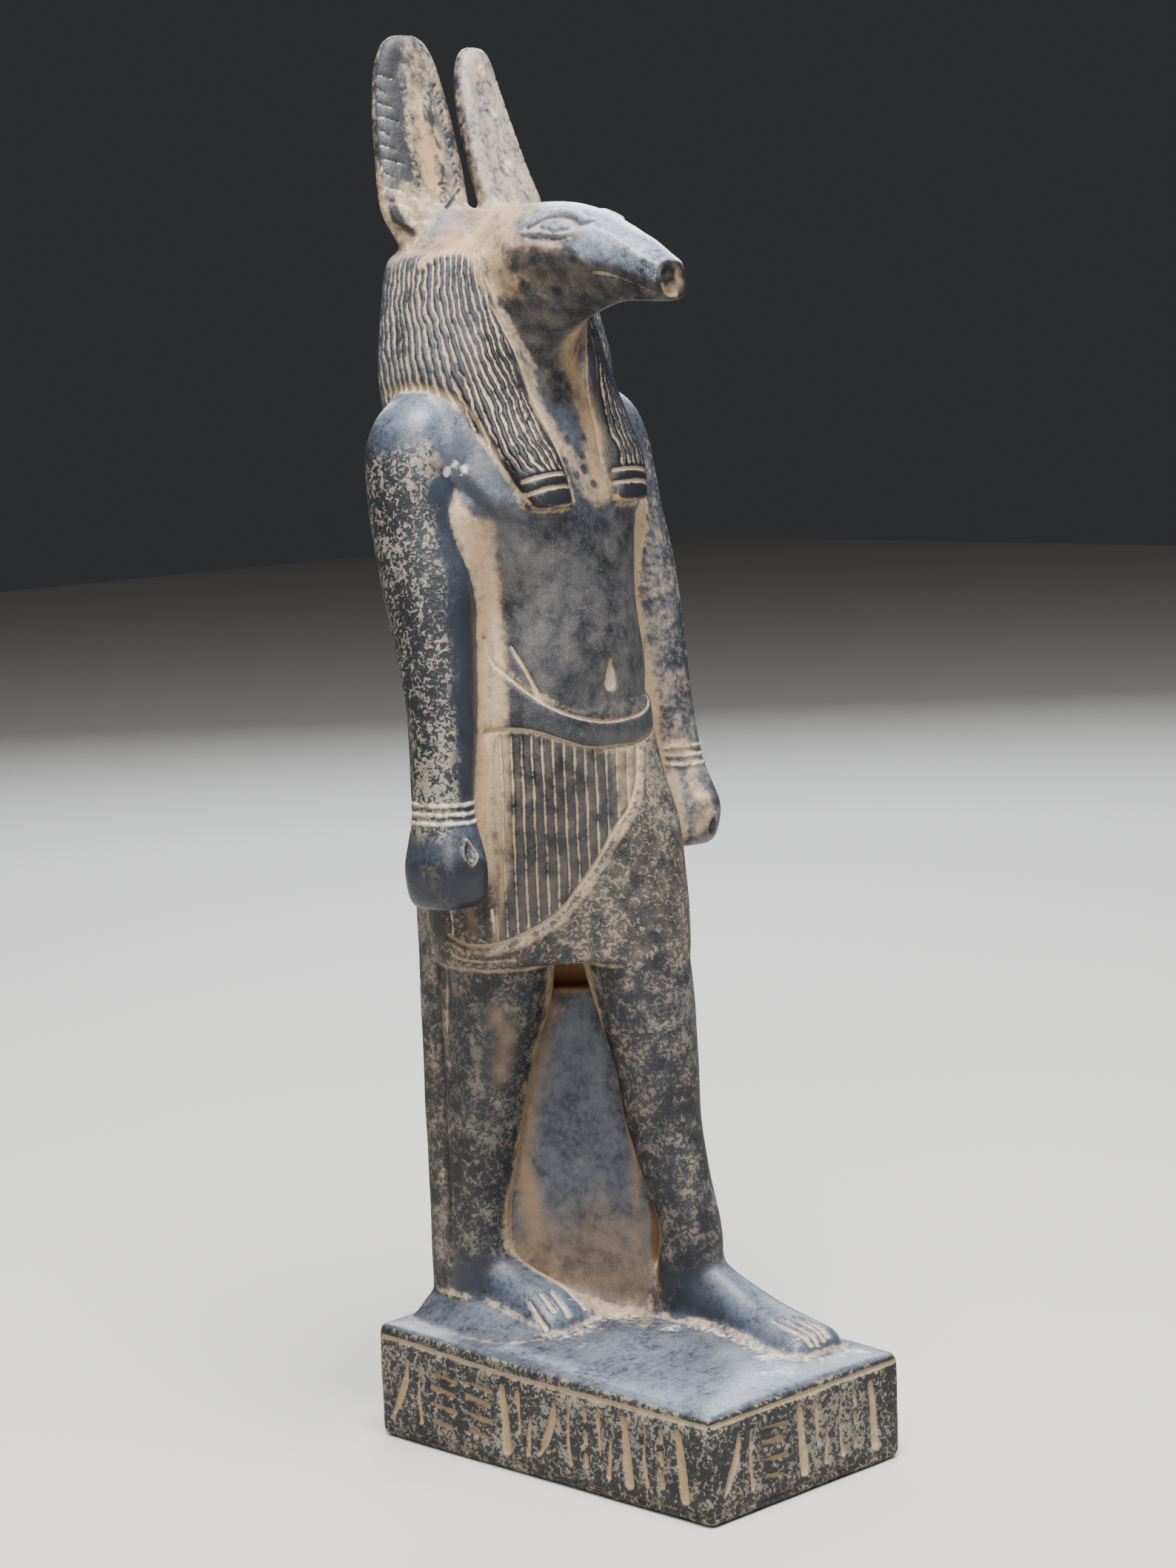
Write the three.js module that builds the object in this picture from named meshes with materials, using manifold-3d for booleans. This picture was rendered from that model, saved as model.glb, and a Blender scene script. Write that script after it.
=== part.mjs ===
// A carved stone statue of a striding figure with the head of a long-eared beast.
// Figure, back pillar and plinth are one block of stone, so they are one solid.
// Millimetres. Z is up and Y runs from the front to the back: the figure looks along -Y, and its
// left side is +X. The origin is under the middle of the plinth.

import * as THREE from 'three';
import { ParametricGeometry } from 'three/addons/geometries/ParametricGeometry.js';
import { mergeVertices } from 'three/addons/utils/BufferGeometryUtils.js';
import Module from 'manifold-3d';

const totalHeight = 250;
const plinthWidth = 49;
const plinthDepth = 82.1;
const plinthFrontHeight = 18.6;
const plinthBackHeight = 22.2;
const plinthCrown = 1.5; // how far the middle of its top stands above the edges
const plinthEdge = 1.6;
const bankHeight = 4.6; // stone left round the foot of the pillar
const pillarHalfWidth = 14.5;
const pillarFront = 30.5;
const pillarBack = 37;
const pillarTop = 204;
const webTop = 81;
const webLeft = 12.5; // inside the left leg
const webRight = -5.5; // inside the right leg
const hemHeight = 87.5;
const beltLowest = 125.6; // lower edge of the belt in the middle of the front
const beltWidth = 4.4;
const beltLowerRise = 3; // how much higher its lower edge is at the sides
const beltUpperRise = 9.5;
const beltProud = 0.5;
const waistTaper = 0.07;
const waistFront = -2;
const waistMiddle = 17;
const wristHeight = 118;
const fistHeight = 108;
const leftHandLift = 3.3; // the left arm is carved a little shorter
const rodRadius = 2.5;
const rodLength = 7;
const lappetEnd = 168;
const earHollowDepth = 1.6;
const leftEarDrop = 1.6; // the left ear is carved a little shorter
const toeGrooveRadius = 0.55;
const toeGrooveLength = 6.4;
const stoneColor = 0x4d525a;

// A station is one section of a limb or body: its place along the run, its middle, its half
// sizes, and how square it is (2 is an ellipse).
// Upright runs use z along and x, y across. Level runs use y along and x, z across.

const torsoStations = [
  { z: 122, x: 0, y: 17, side: 18.6, front: 18.0, back: 13.0, square: 2.3 },
  { z: 138, x: 0, y: 17, side: 17.4, front: 18.0, back: 13.0, square: 2.4 },
  { z: 150, x: 0, y: 17, side: 15.8, front: 17.3, back: 13.0, square: 2.4 },
  { z: 158, x: 0, y: 17, side: 18.6, front: 16.0, back: 13.2, square: 2.4 },
  { z: 168, x: 0, y: 17.5, side: 22.0, front: 15.3, back: 13.0, square: 2.4 },
  { z: 178, x: 0, y: 19, side: 22.0, front: 13.8, back: 12.5, square: 2.3 },
  { z: 186, x: 0, y: 21, side: 18.0, front: 12.5, back: 11.5, square: 2.2 },
  { z: 192, x: 0, y: 22, side: 12.0, front: 11.5, back: 10.0, square: 2.0 },
];

const armStations = [
  { z: 100.5, x: 28.6, y: 12.2, side: 3.2, front: 3.6, back: 3.6, square: 2.3 },
  { z: 103, x: 28.9, y: 12.0, side: 5.0, front: 6.2, back: 5.6, square: 2.5 },
  { z: fistHeight, x: 29.4, y: 11.8, side: 5.8, front: 7.4, back: 6.4, square: 2.6 },
  { z: 113, x: 29.2, y: 12.0, side: 5.2, front: 6.4, back: 5.8, square: 2.4 },
  { z: wristHeight, x: 28.7, y: 12.3, side: 4.7, front: 5.2, back: 5.2, square: 2.2 },
  { z: 130, x: 27.0, y: 13.5, side: 5.2, front: 5.8, back: 5.8, square: 2.2 },
  { z: 142, x: 26.0, y: 15.3, side: 6.2, front: 6.8, back: 6.8, square: 2.2 },
  { z: 154, x: 25.2, y: 17.5, side: 7.1, front: 7.8, back: 7.8, square: 2.2 },
  { z: 166, x: 24.6, y: 20.4, side: 7.4, front: 8.0, back: 7.8, square: 2.2 },
  { z: 177, x: 23.4, y: 22.0, side: 7.9, front: 8.4, back: 8.0, square: 2.2 },
  { z: 184, x: 21.6, y: 22.4, side: 7.0, front: 7.2, back: 7.0, square: 2.1 },
  { z: 188, x: 19.6, y: 22.6, side: 4.2, front: 4.0, back: 4.0, square: 2.0 },
];

// The kilt is stretched round both thighs, so a section is the hull of two circles.
const kiltStations = [
  { z: hemHeight, rx: -8.2, ry: 22.2, rr: 11.2, lx: 9.3, ly: 5.4, lr: 10.4 },
  { z: 98, rx: -7.8, ry: 21.0, rr: 13.2, lx: 8.9, ly: 8.2, lr: 12.5 },
  { z: 110, rx: -6.3, ry: 19.0, rr: 15.8, lx: 7.4, ly: 12.0, lr: 15.3 },
  { z: 121, rx: -3.6, ry: 17.3, rr: 17.4, lx: 4.2, ly: 15.4, lr: 17.1 },
  { z: 133, rx: -1.4, ry: 16.8, rr: 17.7, lx: 1.4, ly: 16.8, lr: 17.7 },
];

const rightLegStations = [
  { z: 14, x: -9.0, y: 29.0, side: 5.8, front: 6.0, back: 6.0, square: 2.2 },
  { z: 27, x: -9.1, y: 29.0, side: 5.6, front: 6.0, back: 6.0, square: 2.2 },
  { z: 38, x: -9.3, y: 29.0, side: 5.2, front: 5.4, back: 5.6, square: 2.2 },
  { z: 47, x: -8.5, y: 28.8, side: 6.0, front: 6.4, back: 6.4, square: 2.2 },
  { z: 57, x: -7.5, y: 28.3, side: 7.0, front: 7.3, back: 7.0, square: 2.2 },
  { z: 70, x: -7.2, y: 26.0, side: 7.8, front: 8.4, back: 8.0, square: 2.2 },
  { z: 82, x: -7.4, y: 22.6, side: 8.8, front: 9.8, back: 9.5, square: 2.1 },
  { z: 96, x: -7.8, y: 21.5, side: 9.6, front: 10.5, back: 10.0, square: 2.1 },
];

const leftLegStations = [
  { z: 14, x: 11.4, y: -3.0, side: 5.4, front: 6.0, back: 6.4, square: 2.2 },
  { z: 27, x: 11.3, y: -3.4, side: 5.4, front: 6.4, back: 6.2, square: 2.2 },
  { z: 38, x: 10.8, y: -4.9, side: 5.2, front: 5.6, back: 5.6, square: 2.2 },
  { z: 47, x: 10.3, y: -2.8, side: 5.6, front: 5.8, back: 6.2, square: 2.2 },
  { z: 57, x: 9.8, y: -0.3, side: 6.4, front: 6.6, back: 7.0, square: 2.2 },
  { z: 69, x: 9.4, y: 1.0, side: 7.3, front: 7.6, back: 7.6, square: 2.2 },
  { z: 82, x: 9.2, y: 3.6, side: 9.0, front: 9.4, back: 9.4, square: 2.1 },
  { z: 96, x: 9.0, y: 7.0, side: 10.0, front: 10.6, back: 10.0, square: 2.1 },
];

const rightFootStations = [
  { y: 7.6, x: -5.6, z: 21.0, side: 5.0, up: 2.2, down: 3, square: 2.6 },
  { y: 9.6, x: -5.7, z: 20.5, side: 6.8, up: 5.0, down: 3, square: 2.8 },
  { y: 14, x: -6.3, z: 20.5, side: 6.9, up: 7.6, down: 3, square: 2.6 },
  { y: 20, x: -7.3, z: 20.5, side: 6.2, up: 10.4, down: 3, square: 2.3 },
  { y: 27, x: -8.6, z: 20.5, side: 5.6, up: 14.0, down: 3, square: 2.2 },
  { y: 33, x: -9.0, z: 20.5, side: 5.2, up: 12.0, down: 3, square: 2.2 },
];

const leftFootStations = [
  { y: -34.0, x: 12.6, z: 19.5, side: 4.8, up: 2.4, down: 3, square: 2.6 },
  { y: -32.0, x: 12.6, z: 19.2, side: 6.5, up: 4.6, down: 3, square: 2.8 },
  { y: -27, x: 12.8, z: 19.2, side: 6.6, up: 6.0, down: 3, square: 2.6 },
  { y: -20, x: 12.6, z: 19.5, side: 6.0, up: 8.2, down: 3, square: 2.4 },
  { y: -12.5, x: 12.0, z: 20.0, side: 5.4, up: 11.6, down: 3, square: 2.3 },
  { y: -5, x: 11.4, z: 20.5, side: 5.3, up: 15.0, down: 3, square: 2.2 },
  { y: 3.4, x: 11.2, z: 20.5, side: 4.4, up: 8.0, down: 3, square: 2.2 },
];

const neckStations = [
  { z: 180, x: 0, y: 19, side: 11.5, front: 12.0, back: 10, square: 2.2 },
  { z: 187, x: 0, y: 19, side: 10.5, front: 10.6, back: 10, square: 2.2 },
  { z: 192, x: 0, y: 19, side: 9.8, front: 9.4, back: 10, square: 2.2 },
  { z: 202, x: 0, y: 19, side: 10.5, front: 10.5, back: 10, square: 2.2 },
];

const headStations = [
  { y: -19.1, x: 0, z: 205.2, side: 3.4, up: 3.4, down: 3.0, square: 2.3 },
  { y: -17.8, x: 0, z: 205.8, side: 4.3, up: 4.5, down: 4.0, square: 2.2 },
  { y: -13, x: 0, z: 207.0, side: 5.0, up: 5.9, down: 4.9, square: 2.2 },
  { y: -8, x: 0, z: 208.2, side: 6.0, up: 7.0, down: 5.9, square: 2.2 },
  { y: -3, x: 0, z: 209.0, side: 7.4, up: 8.6, down: 7.8, square: 2.2 },
  { y: 3, x: 0, z: 209.2, side: 9.4, up: 10.1, down: 11.0, square: 2.1 },
  { y: 10, x: 0, z: 208.5, side: 11.6, up: 11.4, down: 12.6, square: 2.1 },
  { y: 20, x: 0, z: 208.0, side: 12.8, up: 11.8, down: 12.0, square: 2.1 },
];

const wigStations = [
  { z: 172, x: 0, y: 24.5, side: 20.0, front: 13.0, back: 12.2, square: 2.4, backSquare: 4 },
  { z: 186, x: 0, y: 24.5, side: 22.0, front: 14.5, back: 12.5, square: 2.2, backSquare: 4 },
  { z: 193, x: 0, y: 25.0, side: 22.2, front: 14.5, back: 12.0, square: 2.2, backSquare: 4 },
  { z: 200, x: 0, y: 25.5, side: 21.1, front: 13.2, back: 11.5, square: 2.3, backSquare: 4 },
  { z: 207, x: 0, y: 26.0, side: 19.4, front: 12.6, back: 11.0, square: 2.5, backSquare: 3.6 },
  { z: 214, x: 0, y: 26.5, side: 16.6, front: 12.0, back: 10.4, square: 2.6, backSquare: 3.2 },
  { z: 219.5, x: 0, y: 26.5, side: 12.6, front: 10.0, back: 8.4, square: 2.6, backSquare: 2.8 },
];

const lappetStations = [
  { z: lappetEnd, x: 9.2, y: 4.6, side: 4.6, front: 4.4, back: 4, square: 3.0, turn: 5 },
  { z: 175, x: 10.4, y: 6.6, side: 5.6, front: 4.4, back: 4, square: 2.8, turn: 12 },
  { z: 184, x: 12.1, y: 11.9, side: 6.6, front: 4.2, back: 4, square: 2.6, turn: 25 },
  { z: 193, x: 13.6, y: 16.6, side: 7.0, front: 4.2, back: 4, square: 2.5, turn: 35 },
  { z: 203, x: 13.9, y: 19.7, side: 6.5, front: 4.0, back: 4, square: 2.4, turn: 40 },
];

const earStations = [
  { z: 214.5, x: 10.0, y: 29.5, side: 7.4, front: 2.6, back: 3.0, square: 2.4, turn: 12 },
  { z: 220, x: 10.6, y: 30.0, side: 8.7, front: 2.8, back: 3.0, square: 2.5, turn: 12 },
  { z: 229, x: 9.6, y: 32.4, side: 8.3, front: 2.4, back: 2.8, square: 2.5, turn: 14 },
  { z: 237, x: 8.9, y: 34.4, side: 7.4, front: 2.2, back: 2.5, square: 2.5, turn: 15 },
  { z: 244, x: 8.5, y: 35.8, side: 6.2, front: 1.9, back: 2.2, square: 2.5, turn: 15 },
  { z: 248.2, x: 8.4, y: 36.2, side: 4.4, front: 1.6, back: 1.8, square: 2.5, turn: 15 },
  { z: totalHeight, x: 8.4, y: 36.3, side: 2.4, front: 1.0, back: 1.1, square: 2.3, turn: 15 },
];

const arcShare = 3 / 8; // how much of a turn round the kilt each thigh's circle takes

// Stone left between an arm and the body, set back from both.
const armWebStations = [
  { z: 104, x: 22, y: 17, side: 6, front: 5, back: 6, square: 3 },
  { z: 130, x: 20, y: 18, side: 6, front: 4.5, back: 6, square: 3 },
  { z: 150, x: 19, y: 20, side: 6, front: 4.5, back: 7, square: 3 },
  { z: 172, x: 19, y: 22, side: 7, front: 6, back: 7, square: 3 },
];

// The crown of the plinth's top rises from just inside its edges. Heights are above the mean edge.
const crownStations = [
  { z: -6, x: 0, y: 0, side: 23.5, front: 40, back: 40, square: 9 },
  { z: -1.6, x: 0, y: 2, side: 23.5, front: 40, back: 37, square: 8 },
  { z: 0.3, x: 0, y: 5, side: 16, front: 34, back: 34, square: 4 },
  { z: plinthCrown, x: 0, y: 9, side: 9, front: 26, back: 28, square: 3 },
];

// The bank of stone that the feet and the pillar grow out of.
const bankStations = [
  { z: -1, x: 0, y: 30, side: 22.5, front: 24, back: 10.8, square: 4 },
  { z: bankHeight / 2, x: 0, y: 31, side: 18.6, front: 21, back: 8.8, square: 4 },
  { z: bankHeight + 1.6, x: 0, y: 32, side: 14.8, front: 8, back: 5.2, square: 5 },
];

// Where the toes of each foot start, how wide their row is and how far it slopes down forward.
const toeRows = [
  { x: -5.9, y: 7.4, z: 26.3, wide: 12, slope: 0.32 },
  { x: 12.6, y: -34.2, z: 24.1, wide: 11.6, slope: 0.22 },
];

const eye = { x: 6.4, y: 0.8, z: 214.8, proud: 1.4, halfLength: 4.6, halfHeight: 1.5, tilt: 0.1 };

const wasm = await Module();
wasm.setup();

// One named size of a run of stations, part-way along it, on a smooth curve through them.
function sizeAlong(stations, along, name, fallback = 0) {
  const place = along * (stations.length - 1);
  const first = Math.min(Math.floor(place), stations.length - 2);
  const value = (index) => {
    const station = stations[THREE.MathUtils.clamp(index, 0, stations.length - 1)];
    return station[name] ?? fallback;
  };
  const [before, from, to, after] = [-1, 0, 1, 2].map((step) => value(first + step));
  const t = place - first;
  const fromSlope = (to - before) / 2;
  const toSlope = (after - from) / 2;
  const bend = 2 * (from - to) + fromSlope + toSlope;
  const swing = 3 * (to - from) - 2 * fromSlope - toSlope;
  return ((bend * t + swing) * t + fromSlope) * t + from;
}

// A number raised to a power, with its sign kept.
function signedPower(value, power) {
  return Math.sign(value) * Math.abs(value) ** power;
}

// Geometry with shared corners and no needle triangles, as a solid that can be joined or cut.
function solidOf(geometry) {
  geometry.deleteAttribute('normal');
  geometry.deleteAttribute('uv');
  const merged = mergeVertices(geometry, 1e-4);
  const corners = merged.index.array;
  const triangles = [];
  for (let i = 0; i < corners.length; i += 3) {
    const [a, b, c] = corners.slice(i, i + 3);
    if (a !== b && b !== c && c !== a) {
      triangles.push(a, b, c);
    }
  }
  return new wasm.Manifold(new wasm.Mesh({
    numProp: 3,
    vertProperties: merged.attributes.position.array,
    triVerts: Uint32Array.from(triangles),
  }));
}

// A closed skin over a run of rings. ringPoint gives a point for a turn round the ring and a
// place along the run, both from 0 to 1. The first and last rings are closed flat.
function skin(ringPoint, ringMiddle, around, rings) {
  const geometry = new ParametricGeometry((u, v, target) => {
    const row = Math.round(v * (rings + 1));
    const along = THREE.MathUtils.clamp((row - 1) / (rings - 1), 0, 1);
    if (row === 0 || row === rings + 1) {
      target.copy(ringMiddle(along));
    } else {
      target.copy(ringPoint(u % 1, along));
    }
  }, around, rings + 1);
  return solidOf(geometry);
}

// An upright run of rounded sections. mirror -1 makes the same run on the other side.
function uprightLoft(stations, { around = 20, rings = 12, mirror = 1 } = {}) {
  const size = (along, name, fallback) => sizeAlong(stations, along, name, fallback);
  const middle = (along) => new THREE.Vector3(
    mirror * size(along, 'x'), size(along, 'y'), size(along, 'z'));
  const point = (turn, along) => {
    const angle = turn * 2 * Math.PI * mirror;
    const [across, deep] = [Math.cos(angle), Math.sin(angle)];
    const square = size(along, 'square');
    const power = 2 / (deep > 0 ? size(along, 'backSquare', square) || square : square);
    const reach = deep > 0 ? size(along, 'back') : size(along, 'front');
    const side = mirror * size(along, 'side');
    const offset = new THREE.Vector3(
      side * signedPower(across, power), reach * signedPower(deep, power), 0);
    const lean = THREE.MathUtils.degToRad(size(along, 'turn')) * mirror;
    offset.applyAxisAngle(new THREE.Vector3(0, 0, 1), lean);
    return offset.add(middle(along));
  };
  return skin(point, middle, around, rings);
}

// A level run of rounded sections from front to back.
function levelLoft(stations, { around = 20, rings = 12 } = {}) {
  const size = (along, name) => sizeAlong(stations, along, name);
  const middle = (along) => new THREE.Vector3(size(along, 'x'), size(along, 'y'), size(along, 'z'));
  const point = (turn, along) => {
    const angle = -turn * 2 * Math.PI;
    const [across, high] = [Math.cos(angle), Math.sin(angle)];
    const power = 2 / size(along, 'square');
    const reach = high > 0 ? size(along, 'up') : size(along, 'down');
    return new THREE.Vector3(
      size(along, 'side') * signedPower(across, power), 0, reach * signedPower(high, power),
    ).add(middle(along));
  };
  return skin(point, middle, around, rings);
}

function makePlinth() {
  const halfWidth = plinthWidth / 2 - plinthEdge;
  const halfDepth = plinthDepth / 2 - plinthEdge;
  const outline = new THREE.Shape([
    new THREE.Vector2(-halfWidth, -halfDepth),
    new THREE.Vector2(halfWidth, -halfDepth),
    new THREE.Vector2(halfWidth, halfDepth),
    new THREE.Vector2(-halfWidth, halfDepth),
  ]);
  const geometry = new THREE.ExtrudeGeometry(outline, {
    depth: plinthFrontHeight - 2 * plinthEdge,
    bevelThickness: plinthEdge,
    bevelSize: plinthEdge,
    bevelSegments: 2,
    steps: 1,
  });
  geometry.translate(0, 0, plinthEdge);
  // the top rises towards the back
  const places = geometry.attributes.position;
  for (let i = 0; i < places.count; i += 1) {
    if (places.getZ(i) > plinthFrontHeight / 2) {
      const back = places.getY(i) / plinthDepth + 0.5;
      places.setZ(i, places.getZ(i) + back * (plinthBackHeight - plinthFrontHeight));
    }
  }
  return solidOf(geometry);
}

// The uneven top of the plinth round the feet.
function makeBank() {
  const edge = (plinthFrontHeight + plinthBackHeight) / 2;
  const rise = (stations) => uprightLoft(
    stations.map((station) => ({ ...station, z: edge + station.z })), { around: 24, rings: 4 });
  return rise(crownStations).add(rise(bankStations));
}

function makePillar() {
  const middle = (pillarFront + pillarBack) / 2;
  const half = (pillarBack - pillarFront) / 2;
  const base = plinthFrontHeight - 2;
  const stations = [base, (base + pillarTop) / 2, pillarTop].map((z) => (
    { z, x: 0, y: middle, side: pillarHalfWidth, front: half, back: half, square: 9 }));
  return uprightLoft(stations, { around: 16, rings: 3 });
}

// The stone left between the legs and the pillar: a wall with a hollowed right face, and above
// it, under the kilt, a narrower wall set further back.
function makeWeb() {
  const back = pillarFront + 2;
  const wall = (from, to, setBack) => {
    const face = new THREE.QuadraticBezierCurve(
      new THREE.Vector2(webRight + setBack + 0.1, 26),
      new THREE.Vector2(6 + setBack, 18.5 + setBack),
      new THREE.Vector2(7.5 + setBack, 2 + setBack));
    const outline = new THREE.Shape([
      ...face.getPoints(5),
      new THREE.Vector2(webLeft, 3 + setBack),
      new THREE.Vector2(webLeft, back),
      new THREE.Vector2(webRight, back),
      new THREE.Vector2(webRight, 26 + setBack),
    ]);
    const geometry = new THREE.ExtrudeGeometry(outline, {
      depth: to - from, bevelEnabled: false, steps: 1,
    });
    geometry.translate(0, 0, from);
    return solidOf(geometry);
  };
  return wall(plinthFrontHeight - 2, webTop, 0).add(wall(webTop - 1, hemHeight + 4, 3));
}

// A point on the kilt, at a turn from 0 to 1: round the right thigh's circle, straight across the
// front, round the left thigh's circle and straight across the back.
function kiltPoint(turn, along, grow = 0) {
  const size = (name) => sizeAlong(kiltStations, along, name);
  const step = new THREE.Vector2(size('lx') - size('rx'), size('ly') - size('ry'));
  const touch = Math.acos((size('rr') - size('lr')) / step.length());
  const roundRight = (part) => THREE.MathUtils.lerp(touch, 2 * Math.PI - touch, part);
  const roundLeft = (part) => THREE.MathUtils.lerp(-touch, touch, part);
  const onCircle = (side, angle) => {
    const radius = size(`${side}r`) + grow;
    const normal = new THREE.Vector2(Math.cos(step.angle() + angle), Math.sin(step.angle() + angle));
    return new THREE.Vector3(
      size(`${side}x`) + radius * normal.x, size(`${side}y`) + radius * normal.y, size('z'));
  };
  if (turn < arcShare) {
    return onCircle('r', roundRight(turn / arcShare));
  }
  if (turn < 0.5) {
    const across = (turn - arcShare) / (0.5 - arcShare);
    return onCircle('r', roundRight(1)).lerp(onCircle('l', roundLeft(0)), across);
  }
  if (turn < 0.5 + arcShare) {
    return onCircle('l', roundLeft((turn - 0.5) / arcShare));
  }
  const across = (turn - 0.5 - arcShare) / (0.5 - arcShare);
  return onCircle('l', roundLeft(1)).lerp(onCircle('r', roundRight(0)), across);
}

function makeKilt() {
  const middle = (along) => {
    const size = (name) => sizeAlong(kiltStations, along, name);
    return new THREE.Vector3((size('rx') + size('lx')) / 2, (size('ry') + size('ly')) / 2, size('z'));
  };
  return skin(kiltPoint, middle, 32, 8);
}

// The belt hugs the top of the kilt: narrow and low in front, wider and higher at the sides.
function makeBelt() {
  const alongKilt = 0.92;
  const heights = (across) => [
    beltLowest + beltLowerRise * across, beltLowest + beltWidth + beltUpperRise * across];
  const point = (turn, along) => {
    const place = kiltPoint(turn, alongKilt, beltProud);
    const toSide = THREE.MathUtils.smoothstep(place.y, waistFront, waistMiddle);
    place.x *= 1 - waistTaper * along * toSide;
    place.z = THREE.MathUtils.lerp(...heights(toSide), along);
    return place;
  };
  const middle = (along) => new THREE.Vector3(
    0, waistMiddle, THREE.MathUtils.lerp(...heights(0.5), along));
  return skin(point, middle, 32, 3);
}

function makeEar(mirror) {
  const foot = earStations[0].z;
  const drop = mirror > 0 ? leftEarDrop : 0;
  const stations = earStations.map((station) => (
    { ...station, z: station.z - drop * (station.z - foot) / (totalHeight - foot) }));
  const blade = uprightLoft(stations, { around: 18, rings: 12, mirror });
  // the hollow is a slimmer blade set in front of the first
  const hollow = stations.slice(1, -1).map((station) => ({
    ...station,
    y: station.y - station.front - 0.9,
    x: station.x - 0.4,
    side: station.side - 1.9,
    front: earHollowDepth,
    back: 0.9 + earHollowDepth,
    square: 2,
  }));
  return blade.subtract(uprightLoft(hollow, { around: 14, rings: 9, mirror }));
}

// An arm with the fist closed round a short rod whose end shows in front.
function makeArm(mirror) {
  const lift = mirror > 0 ? leftHandLift : 0;
  const shoulder = armStations.at(-1).z;
  const hand = armStations[0].z;
  const stations = armStations.map((station) => (
    { ...station, z: station.z + lift * (shoulder - station.z) / (shoulder - hand) }));
  const rod = new THREE.CylinderGeometry(rodRadius, rodRadius, rodLength, 12);
  rod.translate(mirror * 29, 7.6, fistHeight + lift);
  return uprightLoft(stations, { around: 18, rings: 18, mirror }).add(solidOf(rod));
}

function makeEye(mirror) {
  const ball = new THREE.SphereGeometry(1, 14, 8);
  ball.scale(eye.proud, eye.halfLength, eye.halfHeight);
  ball.rotateX(eye.tilt);
  ball.translate(mirror * eye.x, eye.y, eye.z);
  return solidOf(ball);
}

// Four grooves that part the toes of a foot.
function makeToeGrooves({ x, y, z, wide, slope }) {
  const grooves = [-1.5, -0.5, 0.5, 1.5].map((place) => {
    const groove = new THREE.CylinderGeometry(toeGrooveRadius, toeGrooveRadius, toeGrooveLength, 6);
    groove.rotateX(slope);
    groove.translate(x + place * wide / 5, y + toeGrooveLength / 2, z);
    return solidOf(groove);
  });
  return grooves.reduce((all, groove) => all.add(groove));
}

function makeStatue() {
  const parts = [
    makePlinth(),
    makeBank(),
    makePillar(),
    makeWeb(),
    makeKilt(),
    makeBelt(),
    uprightLoft(torsoStations, { around: 26, rings: 13 }),
    uprightLoft(rightLegStations, { around: 18, rings: 12 }),
    uprightLoft(leftLegStations, { around: 18, rings: 12 }),
    levelLoft(rightFootStations, { around: 16, rings: 9 }),
    levelLoft(leftFootStations, { around: 16, rings: 10 }),
    uprightLoft(neckStations, { around: 16, rings: 4 }),
    levelLoft(headStations, { around: 24, rings: 14 }),
    uprightLoft(wigStations, { around: 30, rings: 12 }),
  ];
  for (const mirror of [-1, 1]) {
    parts.push(makeArm(mirror), makeEar(mirror), makeEye(mirror));
    parts.push(uprightLoft(armWebStations, { around: 12, rings: 5, mirror }));
    parts.push(uprightLoft(lappetStations, { around: 16, rings: 8, mirror }));
  }
  const whole = parts.reduce((joined, part) => joined.add(part));
  return toeRows.map(makeToeGrooves).reduce((rest, grooves) => rest.subtract(grooves), whole);
}

// The joined solid's mesh as a three.js geometry.
function geometryOf(solid) {
  const { vertProperties, triVerts } = solid.getMesh();
  const geometry = new THREE.BufferGeometry();
  geometry.setAttribute('position', new THREE.BufferAttribute(vertProperties, 3));
  geometry.setIndex(new THREE.BufferAttribute(triVerts, 1));
  geometry.computeVertexNormals();
  return geometry;
}

const stone = new THREE.MeshStandardMaterial({ color: stoneColor, roughness: 0.62, metalness: 0 });
const statue = new THREE.Mesh(geometryOf(makeStatue()), stone);
statue.name = 'statue';

const model = new THREE.Group();
model.add(statue);

export default model;
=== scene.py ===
# A carved souvenir statue in dark stone: a striding figure with the head of a long-eared beast, cut
# from one block with the pillar behind it and the plinth under it.
# Lengths are in millimetres until the finished mesh is brought to metres. X runs to the figure's
# left, Y from its front to its back and Z up, with the origin under the middle of the plinth.

import math

import bmesh
import bpy
import numpy as np
from mathutils import Matrix, Vector, kdtree, noise
from mathutils.bvhtree import BVHTree


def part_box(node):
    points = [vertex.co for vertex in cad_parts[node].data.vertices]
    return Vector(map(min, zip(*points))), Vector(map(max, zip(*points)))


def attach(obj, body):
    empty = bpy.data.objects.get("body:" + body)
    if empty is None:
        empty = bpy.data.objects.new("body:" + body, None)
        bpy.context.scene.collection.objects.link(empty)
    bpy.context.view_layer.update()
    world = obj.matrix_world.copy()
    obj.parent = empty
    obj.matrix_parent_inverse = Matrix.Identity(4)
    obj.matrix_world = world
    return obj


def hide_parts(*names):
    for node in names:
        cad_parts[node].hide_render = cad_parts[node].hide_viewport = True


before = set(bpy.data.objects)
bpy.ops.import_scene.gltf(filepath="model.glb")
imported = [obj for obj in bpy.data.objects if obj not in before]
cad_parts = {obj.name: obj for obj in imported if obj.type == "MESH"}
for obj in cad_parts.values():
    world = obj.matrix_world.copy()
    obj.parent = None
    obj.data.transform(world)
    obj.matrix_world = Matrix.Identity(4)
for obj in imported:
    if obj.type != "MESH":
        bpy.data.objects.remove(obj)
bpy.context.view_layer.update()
low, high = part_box("statue")
statueHeight = 250
mm = (high.z - low.z) / statueHeight  # one millimetre of the statue, in metres

meshing = {
    "voxel": 0.33,  # grid that the joined forms are skinned on
    "softening": 14,  # smoothing passes all over
    "fillet": 60,  # more passes where forms meet
    "joining": 90,  # more passes where two forms run into one
    "triangles": 194000,
}


# Stations: rows of named sizes along a form, joined by a smooth curve

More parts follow.
